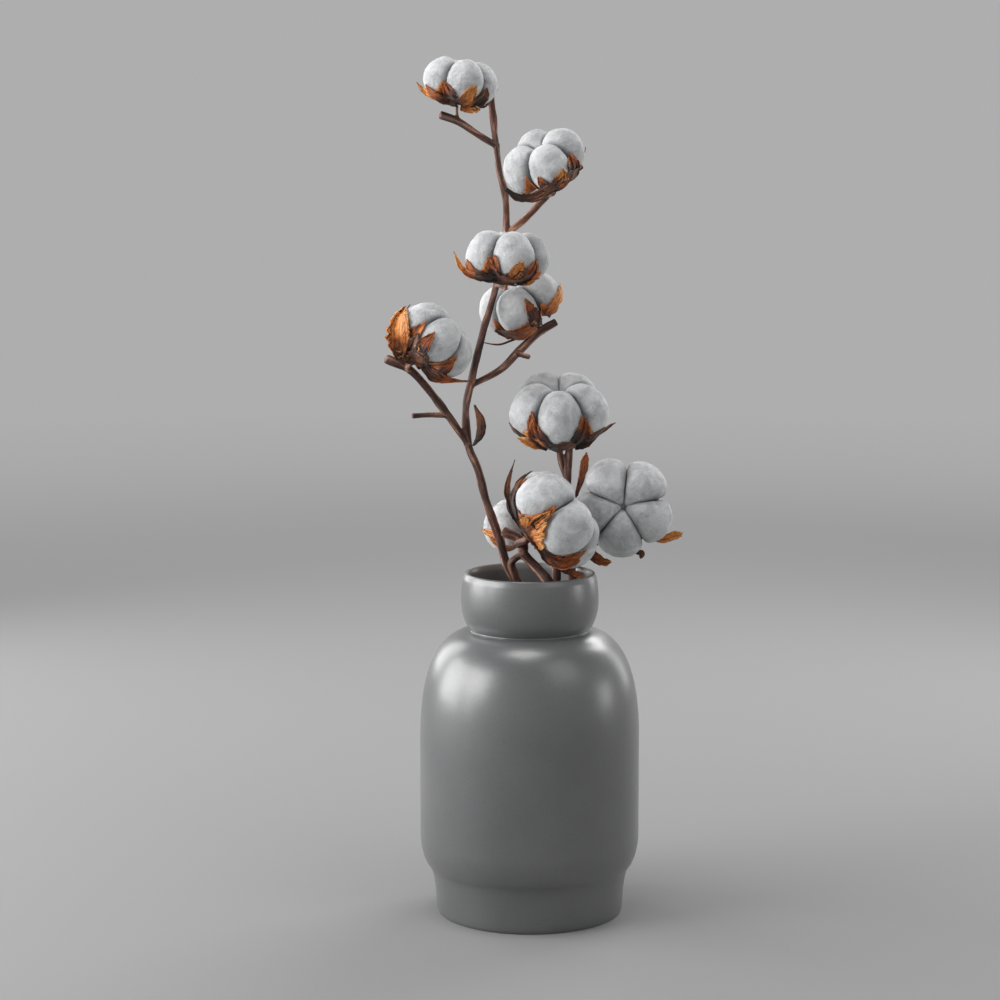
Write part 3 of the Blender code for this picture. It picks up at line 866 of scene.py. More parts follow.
cotton = make_cotton()
for number, boll in bolls.items():
    for k in range(boll["count"]):
        tuft, replaced = f"boll_{number}_tuft_{k + 1}", [f"boll_{number}_lock_{k + 1}"]
        lock = finish_piece(tuft, make_lock(boll, k), cotton, replaced)
print("each lock:", triangles(lock), "triangles")


def make_core(boll):
    """The cushion of lint round the seeds, seen only where the locks' inner ends meet."""
    size = boll["size"]
    bm = bmesh.new()
    middle_of = boll["place"] @ Matrix.Translation((0, 0, CORE_UP * size))
    bmesh.ops.create_icosphere(bm, subdivisions=4, radius=CORE_RADIUS * size, matrix=middle_of)
    fine, high = CORE_LUMPS
    for vertex in bm.verts:
        vertex.co += vertex.normal * high * MM * noise.noise(vertex.co * fine)
    return bm


for number, boll in bolls.items():
    finish_piece(f"boll_{number}_core", make_core(boll), cotton)

# %% [markdown]
# ## The burs: shape
#
# The bur is the dry fruit wall, split into pointed valves that stand in the grooves between
# the locks.  It hugs the cotton, so its shape is found from the cotton: from a point on the
# boll's axis, how far away is the egg's surface in each direction?  A line of points from
# the knob up the outside and down the inside is spun into a closed cup, and each point is then
# moved to its own distance.  The edge of the cup is high at a valve and low under a lock.

# %% Round the cotton
HEART_UP = 0.62
HEART_RADIUS = 0.50


def reach(boll, bearing, rise):
    """How far the cotton reaches from the boll's heart, in a direction."""
    heart = Vector((0, 0, HEART_UP * boll["size"]))
    way = polar(math.cos(rise), bearing, math.sin(rise))
    furthest = HEART_RADIUS * boll["size"]
    for to_ball in boll["to_ball"]:
        o = to_ball @ heart
        d = to_ball.to_3x3() @ way
        b = o.dot(d)
        inside = b * b - d.length_squared * (o.length_squared - 1)
        if inside > 0:
            furthest = max(furthest, (math.sqrt(inside) - b) / d.length_squared)
    return furthest


def round_the_cotton(boll, bearing, rise, stand_off):
    far = reach(boll, bearing, rise) + stand_off
    return polar(far * math.cos(rise), bearing, HEART_UP * boll["size"] + far * math.sin(rise))


# The maps that take each lock's egg back to the unit ball
for boll in bolls.values():
    boll["to_ball"] = [lock_matrix(boll["size"], b).inverted() for b in lock_bearings(boll)]

# %% Bur
KNOB_RADIUS = 0.15
BUR_STEPS_PER_LOCK = 30
BUR_ROWS = 14
BUR_START = math.radians(-75)
BUR_BAY = -33.0
BUR_TIPS = {1: -3, 2: 8, 3: -2, 4: 6, 5: 8, 6: 10, 7: -28, 8: 4, 9: 6}
BUR_POINT = 2.6
BUR_CROWD = 1.5  # draws the spun columns together towards a valve's middle
BUR_CLEAR = 0.5 * MM
BUR_WALL = 1.3 * MM
BUR_EDGE_WALL = 0.5 * MM
BUR_CURL = 2.2 * MM
BUR_CURL_FROM = 0.55
BUR_KEEL = 0.5
BUR_SWAY = (1.7, 9)  # how a valve's height wanders: fineness, degrees
BUR_RAG = ((6, 5.0), (19, 4.0), (43, 2.5))  # how its edge is torn: fineness, degrees
BUR_WRINKLE = (9, 4, 0.35)  # fineness round the boll and up the valve, height in mm


def crowd(boll, bearing):
    """Bearing moved towards the nearest valve's middle, and the share of a valve there."""
    half = math.pi / boll["count"]
    turns = (bearing - boll["spin"]) / (2 * half) - 0.5
    aside = 2 * (turns - round(turns))  # -1 to 1, 0 at the middle of a valve
    moved = math.copysign(abs(aside) ** BUR_CROWD, aside)
    return bearing + (moved - aside) * half, (1 - abs(moved)) ** BUR_POINT


def bur_point(boll, bearing, row):
    """Where a point of the spun cup goes, how far up it is and how much of a valve it is."""
    size, number = boll["size"], boll["number"]
    if row <= 1:
        return polar(row * KNOB_RADIUS * size, bearing, 0), 0.0, 0.0
    bearing, share = crowd(boll, bearing)
    turn = polar(1, bearing, number)
    rag = sum(degrees * noise.noise(turn * fine) for fine, degrees in BUR_RAG)
    height = BUR_TIPS[number] + BUR_SWAY[1] * noise.noise(turn * BUR_SWAY[0])
    edge = math.radians(BUR_BAY + (height - BUR_BAY) * share + rag)
    outside = row - 2 <= BUR_ROWS
    step = row - 2 if outside else 2 * BUR_ROWS + 1 - (row - 2)
    t = step / BUR_ROWS
    start = BUR_START if outside else -math.pi / 2
    rise = start + (edge - start) * t
    wall = BUR_WALL + (BUR_EDGE_WALL - BUR_WALL) * t
    curl = BUR_CURL * share * max(0.0, t - BUR_CURL_FROM) ** 2 / 0.2
    fine, fine_up, high = BUR_WRINKLE
    fold = wobble(turn.x * fine, turn.y * fine, t * fine_up + number)
    wrinkle = high * fold * t * MM
    keel = BUR_KEEL * share**2 * math.sin(math.pi * t) * MM
    lift = BUR_CLEAR + curl + wrinkle + (wall + keel if outside else 0.0)
    return round_the_cotton(boll, bearing, rise, lift), t, share


def make_bur(boll):
    rows = 2 + 2 * (BUR_ROWS + 1)
    bm = spin_round([(row, 0, 0) for row in range(rows)], BUR_STEPS_PER_LOCK * boll["count"])
    wood = bm.verts.layers.float_vector.new("blade")
    for vertex in bm.verts:
        bearing = boll["spin"] + math.atan2(vertex.co.y, vertex.co.x)
        vertex.co, t, share = bur_point(boll, bearing, round(vertex.co.length))
        vertex[wood] = (bearing, t, share)
    close_up(bm)
    bmesh.ops.transform(bm, matrix=boll["place"], verts=bm.verts)
    return bm


# %% [markdown]
# ## Bracts on the far side
#
# Below each bur sit dry leaf-like bracts, toothed at the tip and curled.  A bract starts as
# a flat grid.  Each column is cut to its own length, which makes the teeth, and the sheet is
# laid round the outside of the bur, lifted and curled at its tip, and given a thickness.  The
# bracts away from the camera are free, so the same few serve every boll, turned a little.

# %% Far bract table
# Bearing from straight away from the camera, height of the tip, width in mm, stand-off of the
# tip in mm, twist of the tip; angles in degrees
FAR_BRACTS = [(-58, 4, 6.0, 4, 25), (-8, -8, 10.0, 2, 0), (47, 6, 7.5, 3, 15)]
FAR_TURN = 23  # each boll's bracts are turned by this many degrees more
FAR_SPAN = 40  # and the turns start again when they have covered this many
FAR_LOWER = 34  # a boll that faces the camera keeps its far bracts lower by this
BRACT_START = math.radians(-68)
BRACT_CLEAR = 0.35 * MM
BRACT_COLUMNS = 30
BRACT_ROWS = 34
BRACT_WALL = 0.45 * MM
BRACT_STEP = 0.2 * MM  # each further bract of a boll stands off by this more
BRACT_RAG = 0.14  # how ragged its edges are, as a share of its width
BRACT_FOLD = 1.3  # in mm, as the next three are
BRACT_VEIN = 0.20
BRACT_CUP = 0.11  # for each mm of width
BRACT_FLICK = 2.2  # how far a wide tip bends out, from this share of the length on
FLICK_FROM = 0.7
THINNEST = 0.12
WIDE = 7.0
LOBES = 5


def blade_width(t, wide):
    """A bract's width along its length, as a share of its widest."""
    if wide:
        return 0.45 + 0.55 * math.sin(math.pi / 2 * min(1.0, t / 0.42)) - 0.30 * max(0.0, t - 0.45)
    return 0.30 + 0.75 * math.sin(math.pi * min(1.0, 0.05 + t * 0.92)) - 0.28 * t * t


def column_end(across, wide, seed):
    """How far up a column of the blade reaches: lobed at the tip if wide, else one point."""
    if not wide:
        return 1 - 0.5 * abs(across) ** 1.3
    place = (across + 1) / 2 * LOBES + 0.25 * wobble(across * 2, seed, 1)
    valley = abs(2 * (place - math.floor(place)) - 1)
    tall = 1 - 0.38 * abs(across) ** 1.6 + 0.15 * wobble(math.floor(place), seed, 2)
    return min(1.0, tall) * (1 - 0.30 * valley)


def make_bract(boll, k):
    bearing, tip, width, stand_off, twist = FAR_BRACTS[k]
    away = boll["place"].to_3x3().inverted() @ VIEW_AWAY
    turn = (FAR_TURN * boll["number"]) % FAR_SPAN - FAR_SPAN / 2
    wide = width >= WIDE
    seed = 10 * boll["number"] + k
    bearing = math.atan2(away.y, away.x) + math.radians(bearing + turn)
    facing = max(0.0, -boll["axis"].dot(VIEW_AWAY))
    tip = math.radians(tip - FAR_LOWER * facing)
    base_lift = BUR_CLEAR + BUR_WALL + BRACT_CLEAR + BRACT_STEP * k
    bm, blade, points = new_sheet(BRACT_COLUMNS, BRACT_ROWS)
    for vertex, across, along in points:
        t = along * column_end(across, wide, seed)
        rise = BRACT_START + (tip - BRACT_START) * t
        rag = 1 + BRACT_RAG * wobble(t * 9, seed, math.copysign(1, across))
        half = across * width * MM / 2 * max(THINNEST, blade_width(t, wide) * rag)
        fold = BRACT_FOLD * wobble(across * 2.3, t * 3.0, seed) * t
        vein = BRACT_VEIN * math.cos(across * math.pi * LOBES) * min(1.0, 3 * t) * wide
        cup = BRACT_CUP * width * across * across * (0.2 + t)
        flick = BRACT_FLICK * max(0.0, t - FLICK_FROM) * wide
        lift = base_lift + (stand_off * t * t + max(-0.2, fold) + vein + cup + flick) * MM
        spine = round_the_cotton(boll, bearing, rise, lift)
        wrapped = round_the_cotton(
            boll, bearing + half / max(spine.to_2d().length, 3 * MM), rise, lift
        )
        roll = math.radians(twist) * t
        outward = polar(1, bearing, 0)
        vertex.co = spine + (wrapped - spine) * math.cos(roll) + outward * half * math.sin(roll)
        vertex[blade] = (across, t, abs(across))
    bmesh.ops.transform(bm, matrix=boll["place"], verts=bm.verts)
    return bm


# %% [markdown]
# ## Burs and bracts: finish
#
# Both are dead plant skin.  The bur is almost black at the knob and turns orange-brown up the
# valves; the broad bracts have dried to gold with dark veins.  The patterns read the
# coordinates written on each blade, so veins run from base to tip however it curls.


# %% Dry skins
def make_dry_skin(name, stops, vein_dark, streaks, wander):
    material, tree, shader = new_finish(name, 0.62)
    blade = attribute_of(tree, "blade")
    place = place_of(tree)
    parts = add(tree, "SeparateXYZ", Vector=blade)
    blotch = noise_of(tree, place, 170.0, 4.0, 0.6)
    colour = ramp(tree, wandering(tree, parts.outputs["Y"], blotch, wander), *stops)
    lines = streaks_of(tree, blade, streaks, 4.0, 0.6, 0.4)
    dark = ramp(tree, lines, (0.40, vein_dark), (0.52, (1, 1, 1)))
    colour = shaded(tree, colour, dark, 0.95)
    fine = noise_of(tree, place, 620.0, 3.0)
    mottle = ramp(tree, fine, (0.36, (0.40, 0.34, 0.30)), (0.54, (1.1, 1.1, 1.1)))
    colour = shaded(tree, colour, mottle, 0.6)
    ridges = bump(tree, lines, 0.8 * MM, 1.0)
    grit = bump(tree, noise_of(tree, place, 900.0, 4.0), 0.15 * MM, 0.8, under=ridges)
    fill(tree, shader, Base_Color=colour, Normal=grit)
    return material


bur_skin = make_dry_skin(
    "dry_bur_skin",
    ((0.05, (0.012, 0.006, 0.005)), (0.32, (0.085, 0.022, 0.008)), (0.56, (0.370, 0.088, 0.014)),
     (0.95, (0.520, 0.160, 0.034))),
    (0.16, 0.11, 0.09), (9, 3, 2), 1.1,
)
horn_skin = make_dry_skin(
    "dark_bract_skin",
    ((0.05, (0.014, 0.008, 0.006)), (0.42, (0.060, 0.021, 0.011)), (0.72, (0.200, 0.065, 0.022)),
     (1.0, (0.100, 0.042, 0.018))),
    (0.20, 0.15, 0.13), (5, 4, 1), 1.1,
)
leaf_skin = make_dry_skin(
    "golden_bract_skin",
    ((0.02, (0.120, 0.036, 0.010)), (0.24, (0.480, 0.135, 0.020)), (0.55, (0.800, 0.300, 0.058)),
     (1.0, (0.920, 0.460, 0.150))),
    (0.12, 0.045, 0.022), (11, 1.6, 1), 0.8,
)

# %% Make burs and far bracts
for number, boll in bolls.items():
    husk, replaced = f"boll_{number}_husk", [f"boll_{number}_bur"]
    bur = finish_piece(husk, make_bur(boll), bur_skin, replaced)
    for k in range(len(FAR_BRACTS)):
        skin = leaf_skin if (number + k) % 3 == 0 else horn_skin
        name = f"boll_{number}_far_bract_{k + 1}"
        bract = finish_piece(name, make_bract(boll, k), skin)
        thicken(bract, BRACT_WALL)
print("a bur:", triangles(bur), "triangles; a bract:", triangles(bract))

# %% [markdown]
# ## Bracts on the near side
#
# These are the ones that give each boll its face: horns, ragged golden blades and the torn
# rim of the cup.  Each is drawn flat first, as the camera sees the boll: a line of points
# (right, up, width), in millimetres from the boll's middle.  Then it is draped.  A ray from the
# camera through each point finds the cotton, the point stops just in front of it, and the
# sheet is pulled taut between the points that touch.  A bract with a depth after its points
# is not draped but stands that many millimetres behind the boll's middle.

# %% Near bract table
DARK, GOLD, BUR = horn_skin, leaf_skin, bur_skin
NEAR_BRACTS = {
    1: [
        (GOLD, [(-8, -12.5, 4), (-20, -9, 4), (-26.5, -5, 3), (-30, 0, 0.8)]),
        (BUR, [(-2, -14, 6), (-10, -12.5, 6.5), (-19, -8.5, 4.5), (-24, -1.5, 0.8)]),
        (BUR, [(-7.5, -13, 9), (-8, -8, 8), (-9.5, -3.5, 4.5), (-10, 0, 0.8)]),
        (DARK, [(7, -17, 7), (14.5, -12.5, 7), (17, -8.5, 5), (18, -4, 0.8)]),
        (GOLD, [(0, -16.5, 6), (7, -18, 7), (13.5, -19, 3)]),
        (GOLD, [(-0.5, -15.5, 7), (4.5, -11.5, 9.5), (8, -6.5, 7), (10.5, -2, 1.5)]),
    ],
    2: [
        (DARK, [(-26.5, -19, 2.5), (-18, -24.5, 5), (-8, -25, 6.5), (2, -20, 7), (10, -16, 6)]),
        (BUR, [(2, -18.5, 7), (-1.5, -14.5, 6), (-4, -10.5, 0.8)]),
        (BUR, [(21, -6, 8), (20, -1, 8), (17.5, 6, 0.8)]),
        (DARK, [(8, -17.5, 6), (17, -11, 6), (24.5, -5, 4)]),
        (GOLD, [(8.5, -17, 9), (12, -12.5, 9), (13, -8.5, 6), (12.5, -5, 1.5)]),
    ],
    3: [
        (GOLD, [(-17, -15, 4.5), (-28, -11, 4.5), (-33.5, -4, 3), (-37, 4, 0.8)]),
        (BUR, [(-10, -15, 6), (-22, -12, 6), (-26, -7.5, 4.5), (-28, -1.5, 0.8)]),
        (BUR, [(-9.5, -14.5, 9), (-9.5, -8.5, 8), (-9, -2, 4.5), (-9, 1.5, 0.8)]),
        (DARK, [(-22, -13.5, 4), (-12, -15, 5.5), (-2, -16.5, 6), (10, -17.5, 5)]),
        (GOLD, [(8, -17, 5), (14, -17.5, 4.5), (18.5, -16.5, 1.5)]),
        (BUR, [(5, -16.5, 7), (13, -12.5, 9), (18, -7, 6), (19, -1, 0.8)]),
        (GOLD, [(-0.5, -15.5, 6), (5, -12, 8.5), (8.5, -7, 7), (10.5, -3, 2)]),
    ],
    4: [
        (BUR, [(-17.5, -19.5, 2), (-7.5, -22.5, 6), (4, -20.5, 9), (12, -13.5, 8)]),
        (BUR, [(12, -16.5, 8), (10, -8, 9), (7, -2.5, 6), (4, 3.5, 0.8)]),
        (DARK, [(0, -24, 2), (-8, -27.5, 1.6), (-15.5, -29.5, 1.4), (-26.5, -28, 0.7)]),
        (GOLD, [(19, -9, 5), (24, -2, 6.5), (28, 5, 5.5), (28.5, 14, 1)]),
    ],
    5: [
        (BUR, [(-12, -10, 9), (-7, -2.5, 9), (-0.5, 5, 1)]),
        (BUR, [(2, -24.5, 6), (8, -20, 6), (12.5, -17, 0.8)]),
        (BUR, [(-10, -14, 5), (-4, -23.5, 8), (4.5, -27, 7), (12, -28.5, 3), (22, -29, 0.8)]),
        (DARK, [(-21, -13, 5), (-17.5, -8, 8), (-14.5, -2, 7), (-12, 4, 2)]),
        (DARK, [(-10, -20, 3.5), (-14, -15, 4.5), (-17.5, -11, 3)]),
        (GOLD, [(-18.5, -14, 4), (-25, -11, 5), (-31.5, -7, 1.5)]),
        (GOLD, [(-14, -13, 5), (-13.5, -8, 5.5), (-13, -3.5, 1.5)]),
        (DARK, [(-28, -12.5, 4), (-20, -12.5, 8), (-12, -13.5, 10), (-5, -17, 8)]),
        (GOLD, [(-25, -13, 6), (-25.5, -3, 14.5), (-25.6, 3.8, 16), (-24.6, 12, 12.5),
                (-22.2, 18.5, 6), (-20.8, 23, 1)]),
    ],
    6: [
        (DARK, [(-7, -26, 4), (-0.5, -26.5, 5.5), (6.5, -25, 5), (12, -25, 4)]),
        (BUR, [(-6.5, -26, 7), (-15, -19, 10), (-18.5, -10, 7), (-18.5, -1, 0.8)]),
        (BUR, [(10.5, -24, 7), (16.5, -17.5, 10.5), (17.5, -11, 7), (16, -4, 0.8)]),
        (GOLD, [(-8, -26, 5), (-18.5, -23, 7.5), (-29.5, -19.5, 1.5)]),
        (GOLD, [(-17, -22, 4), (-21, -18, 4), (-25, -14.5, 2)]),
        (DARK, [(-24, -19.5, 2.4), (-31, -14, 2), (-34.5, -9, 0.7)]),
        (DARK, [(11, -26, 4.5), (19, -24, 5), (26, -20, 1)]),
        (DARK, [(15, -23.5, 4), (23, -19.5, 3.4), (31.5, -14, 2.8), (39.5, -9, 0.8)]),
    ],
    7: [
        (BUR, [(-20, 2, 2.5), (-31.8, 6, 2.5), (-28.8, 20.3, 4.6), (-26.8, 30.3, 5.8),
               (-25.4, 38.6, 3.8)], 14),
        (GOLD, [(14, -13, 4), (25.2, -22.7, 5), (36.7, -20.2, 5.8), (42.7, -18.7, 3)], 10),
        (DARK, [(4, -16, 3), (9.2, -30.2, 4), (13.7, -33.2, 4), (12.2, -36.7, 2)], 10),
        (BUR, [(-13, -18, 4), (-22.8, -30.2, 6), (-18.8, -36.2, 7), (-12.8, -39.2, 6),
               (-7.8, -38.7, 3)], 10),
    ],
    8: [
        (DARK, [(-30, 9, 3), (-28.5, 4, 3.6), (-22.2, -6, 3), (-13.4, -16.5, 3),
                (-4, -29.5, 3.5)]),
        (DARK, [(-26.5, 0, 4), (-29.5, 9, 4.4), (-31.8, 17.6, 4.8), (-31, 27, 3.2),
                (-26.6, 40.6, 0.7)]),
        (DARK, [(-28.2, 8, 3.8), (-28.8, 14, 3.6), (-26.6, 20.5, 3.3), (-22.6, 27, 2.6),
                (-15, 33, 0.6)]),
        (BUR, [(-9, -22, 4), (-4, -27, 7), (5, -30.5, 9), (13, -28, 7.5), (19.5, -23, 1.5)]),
        (BUR, [(-14, -6, 6), (-8, 0, 7), (-2.5, 5, 4.5), (1.5, 9, 0.8)]),
        (GOLD, [(-13.5, -19, 4), (-10, -18.5, 6.5), (-7, -20.5, 4)]),
        (GOLD, [(-16, -14, 5), (-11, -12.5, 7.5), (-5.6, -11.5, 4.5)]),
        (GOLD, [(-17.5, -11, 5), (-11.5, -7.5, 7), (-4.5, -2, 3.5)]),
        (GOLD, [(-18.5, -9, 5), (-13, -3.5, 6.5), (-6.5, 1.8, 4.5), (-2, 5.5, 1.2)]),
        (GOLD, [(-20, -7.5, 4.5), (-20, -2.5, 6.5), (-19.5, 1.5, 4)]),
        (BUR, [(5, -35, 2.5), (11, -37, 4.5), (17, -38.8, 4), (22, -40.5, 1)], 8),
    ],
    9: [(GOLD, [(-13.5, -14, 4), (-21.5, -11, 5.5), (-29.5, -8, 1.5)])],
}
print("near bracts:", sum(map(len, NEAR_BRACTS.values())))

# %% Drape
NEAR_COLUMNS = 18
NEAR_CLEAR = 0.5 * MM
NEAR_PULLS = 14  # rounds of pulling the sheet taut
NEAR_RAG = 0.34
NEAR_TEETH = 0.16  # how far the tip's teeth and its rounding reach, as a share of the length
NEAR_PLEAT = 0.035  # heights as shares of the width
NEAR_CURL = 0.10
PLEAT_WIDTH = 2.2
NEAR_CRUMPLE = 0.7  # heights in mm
TIP_CURL = 1.2
TIP_CURL_FROM = 0.75


def obstacle(number, count):
    """A search tree over a boll's cotton and bur."""
    names = [f"boll_{number}_tuft_{k + 1}" for k in range(count)] + [f"boll_{number}_husk"]
    points, faces = [], []
    for name in names:
        mesh = bpy.data.objects[name].data
        start = len(points)
        points += [v.co.copy() for v in mesh.vertices]
        faces += [[start + i for i in face.vertices] for face in mesh.polygons]
    return BVHTree.FromPolygons(points, faces)


def pull_taut(depth, limit):
    """Averages each depth with its neighbours, never past the limit."""
    for _ in range(NEAR_PULLS):
        pulled = {}
        for (i, j), value in depth.items():
            spots = ((i - 1, j), (i + 1, j), (i, j - 1), (i, j + 1))
            near = [depth.get(spot, value) for spot in spots]
            pulled[i, j] = min(limit[i, j], (value + sum(near)) / 5)
        depth = pulled
    return depth


def make_near_bract(boll, behind, route, tree, seed):
    eye = Vector(CAMERA_PLACE)
    heart = boll["place"] @ Vector((0, 0, HEART_UP * boll["size"]))
    line = smooth_line([(right, up, 0, width) for right, up, width in route])
    last = len(line) - 1
    wide = max(width for *_, width in route)
    bm, blade, points = new_sheet(NEAR_COLUMNS, last)
    spots, ways, depth, limit = {}, {}, {}, {}
    for vertex, across, along in points:
        spot = (round((across + 1) / 2 * NEAR_COLUMNS), round(along * last))
        tooth = wobble(across * wide * 0.45, seed, 2)
        tooth += 0.5 * wobble(across * wide * 1.1, seed, 4)
        t = along * (1 - NEAR_TEETH * across * across + NEAR_TEETH * tooth)
        at = max(0.0, min(last - 0.001, t * last))
        step = int(at)
        p = line[step].lerp(line[step + 1], at - step)
        way_up = (line[step + 1] - line[step]).to_2d().normalized()
        aside = Vector((way_up.y, -way_up.x))
        edge = wobble(t * wide * 0.9 + 1, seed, math.copysign(3, across))
        edge += 0.5 * wobble(t * wide * 2.3, seed, math.copysign(5, across))
        flat = p.to_2d() + aside * across * p.w / 2 * (1 + NEAR_RAG * edge)
        point = heart + (VIEW_RIGHT * flat.x + VIEW_UP * flat.y + VIEW_AWAY * (behind or 0)) * MM
        way = point - eye
        far = way.length
        way.normalize()
        hit = tree.ray_cast(eye, way)[3] if behind is None else None
        spots[spot], ways[spot] = vertex, way
        limit[spot] = hit - NEAR_CLEAR if hit else far
        depth[spot] = min(far, limit[spot])
        pleats = max(2, round(wide / PLEAT_WIDTH))
        pleat = NEAR_PLEAT * wide * math.cos(across * math.pi * pleats)
        crumple = NEAR_CRUMPLE * wobble(across * wide * 0.3, t * 5, seed)
        curl = NEAR_CURL * wide * across * across + TIP_CURL * max(0.0, t - TIP_CURL_FROM)
        vertex[blade] = (across * wide / 8, t, max(0.0, pleat + crumple + curl) * MM)
    depth = pull_taut(depth, limit)
    for spot, vertex in spots.items():
        vertex.co = eye + ways[spot] * (depth[spot] - vertex[blade].z)
    bm.normal_update()
    if sum(face.normal.dot(VIEW_AWAY) for face in bm.faces) > 0:
        bmesh.ops.reverse_faces(bm, faces=bm.faces)
    return bm


for number, bracts in NEAR_BRACTS.items():
    tree = obstacle(number, bolls[number]["count"])
    for k, (skin, route, *depth) in enumerate(bracts):
        behind = depth[0] if depth else None
        bm = make_near_bract(bolls[number], behind, route, tree, 10 * number + k)
        bract = finish_piece(f"boll_{number}_near_bract_{k + 1}", bm, skin)
        thicken(bract, BRACT_WALL)
print("a near bract:", triangles(bract), "triangles")

# %% [markdown]
# ## Loose fibres
#
# No lock is perfectly smooth: single fibres lift off and curl, and they give the cotton its
# soft outline.  Each is a thin curved hair, so a curve with a round bevel is the natural tool,
# and all the hairs of one boll are splines of one curve that is then made a mesh.

# %% Lint
HAIRS_PER_LOCK = 70
HAIR_THICK = 0.055 * MM
HAIR_STEPS = 4
HAIR_LENGTHS = (1.5, 5.0)
HAIR_LIFTS = (0.05, 0.55)
HAIR_ROOT = 0.15 * MM
OUTER = 0.35  # hairs grow where a lock faces outward by this share of the boll's size


def hair(curve, root, out, side, length, lift):
    spline = curve.splines.new("POLY")
    spline.points.add(HAIR_STEPS)
    for i, point in enumerate(spline.points):
        t = i / HAIR_STEPS
        bend = side * math.sin(2.2 * t) * length
        bend += out * (lift * 4 * t * (1 - 0.55 * t) - HAIR_ROOT)
        point.co = (*(root + bend), 1.0)
        point.radius = 1.0 - 0.6 * t


def make_lint(number, boll):
    curve = bpy.data.curves.new(f"boll_{number}_lint", "CURVE")
    curve.dimensions = "3D"
    curve.bevel_depth = HAIR_THICK
    curve.bevel_resolution = 0
    curve.use_fill_caps = True
    for k in range(boll["count"]):
        mesh = bpy.data.objects[f"boll_{number}_tuft_{k + 1}"].data
        centre = boll["place"] @ Vector((0, 0, LOCK_UP * boll["size"]))
        least = OUTER * boll["size"]
        outer = [v for v in mesh.vertices if (v.co - centre).dot(v.normal) > least]
        for vertex in rng.sample(outer, HAIRS_PER_LOCK):
            out = vertex.normal.normalized()
            side = out.cross(Vector([rng.uniform(-1, 1) for _ in range(3)])).normalized()
            length, lift = (rng.uniform(*span) * MM for span in (HAIR_LENGTHS, HAIR_LIFTS))
            hair(curve, vertex.co, out, side, length, lift)
    holder = new_object("lint_curve", curve)
    mesh = mesh_as_seen(holder)
    bpy.data.objects.remove(holder)
    bm = bmesh_from(mesh)
    bmesh.ops.remove_doubles(bm, verts=bm.verts, dist=0.001 * MM)
    return finish_piece(f"boll_{number}_lint", bm, cotton)


for number, boll in bolls.items():
    lint = make_lint(number, boll)
print("lint of the last boll:", triangles(lint), "triangles")

# %% [markdown]
# ## The dried leaf
#
# One narrow leaf is left on the tall stem.  It is a grid again: rows follow a bent line, the
# edges curl forward, and a thickness makes it solid.

# %% Leaf
LEAF_ROUTE = [
    (-39.4, 24.6, 325.5, 1.6), (-36, 21, 333, 7.0), (-35.5, 18, 343, 8.0), (-38.5, 15.5, 355, 1.4),
]
LEAF_COLUMNS = 12
LEAF_RIPPLE = 0.2
LEAF_RIB = 0.25  # in mm, as the next one is
LEAF_VEINS = 0.12
LEAF_ASIDE = Vector((0.75, -0.66, 0.0))
LEAF_CURL = Vector((0.45, 0.50, 0.0))
LEAF_WALL = 0.4 * MM


def make_leaf():
    line = smooth_line(LEAF_ROUTE)
    bm, blade, points = new_sheet(LEAF_COLUMNS, len(line) - 1)
    for vertex, across, along in points:
        point = line[round(along * (len(line) - 1))]
        half = point.w / 2 * (1 + LEAF_RIPPLE * wobble(along * 7, across, 5))
        vein = LEAF_RIB * (1 - abs(across)) ** 4
        vein += LEAF_VEINS * math.cos(along * 40 - abs(across) * 6)
        aside = LEAF_ASIDE * across * half
        curl = LEAF_CURL * (across * across * half - vein)
        vertex.co = (point.to_3d() + aside + curl) * MM
        vertex[blade] = (across, along, abs(across))
    return bm


leaf = finish_piece("last_leaf", make_leaf(), horn_skin, ["dried_leaf"])
thicken(leaf, LEAF_WALL)
print("leaf:", triangles(leaf), "triangles")

# %% [markdown]
# ## Floor
#
# A studio sweep hides the line between floor and wall.  Here it is a wide dish, spun from a
# line that is flat below the vase and curves up all round, so every side view has the same
# plain ground.  A faint glow that grows with the distance keeps the far side from going dark.


# %% Dish
DISH_FLAT = 2.4
DISH_BEND = 1.6
DISH_HEIGHT = 3.2
DISH_STEPS = 64
BEND_STEPS = 10


def make_dish():
    outline = [(0.0, 0, 0.0), (DISH_FLAT, 0, 0.0)]
    for k in range(1, BEND_STEPS + 1):
        a = math.radians(90 / BEND_STEPS * k)
        outline.append(
            (DISH_FLAT + DISH_BEND * math.sin(a), 0, DISH_BEND - DISH_BEND * math.cos(a))
        )
    outline.append((DISH_FLAT + DISH_BEND, 0, DISH_HEIGHT))
    bm = spin_round(outline, DISH_STEPS)
    close_up(bm, 0.1 * MM)
    bmesh.ops.reverse_faces(bm, faces=bm.faces)
    return bm


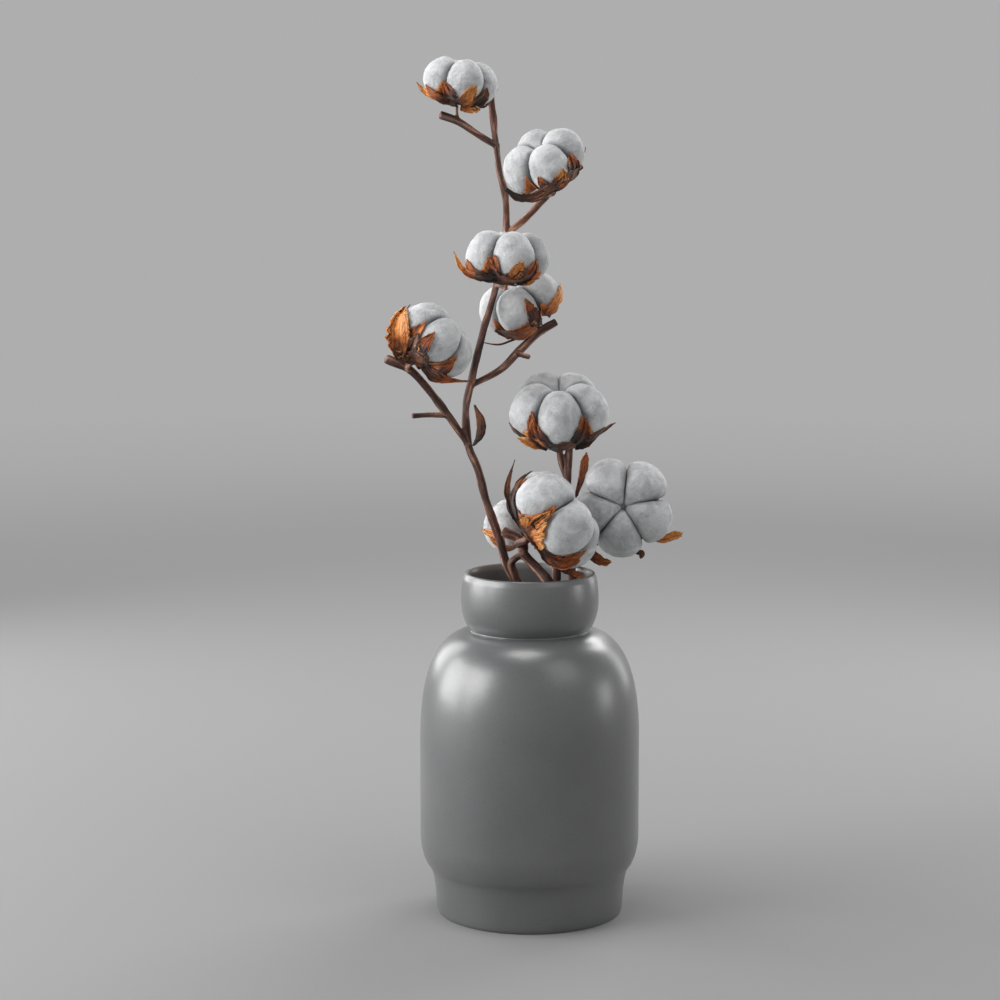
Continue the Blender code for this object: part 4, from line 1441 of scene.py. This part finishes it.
FLOOR_GREY = (0.245, 0.245, 0.245, 1.0)
FLOOR_GLOW = 0.335
WHITE = (1.0, 1.0, 1.0, 1.0)
material, tree, shader = new_finish("floor_paint", 0.9)
away = add(tree, "VectorMath", {"operation": "LENGTH"}, Vector=place_of(tree)).outputs["Value"]
glow = add(
    tree, "MapRange", Value=away, From_Min=-0.3, From_Max=2.9, To_Min=0.0, To_Max=FLOOR_GLOW
)
fill(
    tree, shader, Base_Color=FLOOR_GREY, Specular_IOR_Level=0.0, Emission_Color=WHITE,
    Emission_Strength=glow.outputs["Result"],
)
floor = painted("floor", make_dish(), material)

# %% [markdown]
# ## Light
#
# Nine soft lamps. The key, the side lamp and one behind on the left model the cotton and the
# glaze; two behind on the right draw the bright edge down the vase; one stands above, a weak
# fill in front, and a small one on either side draws a highlight on the neck. The side lamp
# has a narrow spread, as a softbox with a grid has, so it doesn't light the floor under it.
# The world adds an even grey glow that keeps the shadows open.

# %% Lamps
AIM = Vector((0.0, 0.0, 0.33))
WORLD_GREY = (0.152, 0.152, 0.152, 1.0)


def lamp(name, place, width, height, power, spread=180):
    data = bpy.data.lights.new(name, "AREA")
    data.shape = "RECTANGLE"
    data.size = width
    data.size_y = height
    data.energy = power
    data.spread = math.radians(spread)
    made = new_object(name, data)
    made.location = place
    made.rotation_euler = (AIM - Vector(place)).to_track_quat("-Z", "Y").to_euler()


lamp("key", (-1.24, -0.61, 0.80), 0.7, 0.7, 11.5)
lamp("side", (-1.44, 0.20, 0.62), 0.9, 0.9, 7.4, spread=120)
lamp("back_left", (-0.84, 0.90, 0.66), 0.5, 0.8, 4.5)
lamp("edge", (0.62, 0.98, 1.08), 0.8, 0.5, 10)
lamp("edge_low", (0.92, 0.80, 0.50), 0.3, 0.7, 1.4)
lamp("top", (-0.10, -0.15, 1.70), 0.6, 0.6, 7.5)
lamp("fill", (0.95, -0.95, 1.45), 1.0, 1.0, 4.2)
lamp("neck_left", (-1.40, -0.54, 0.32), 0.30, 0.25, 1.3)
lamp("neck_right", (1.30, -0.05, 0.34), 0.35, 0.25, 1.3)
world = bpy.data.worlds.new("studio")
bpy.context.scene.world = world
world.use_nodes = True
fill(world.node_tree, world.node_tree.nodes["Background"], Color=WORLD_GREY)

# %% A last import
import json
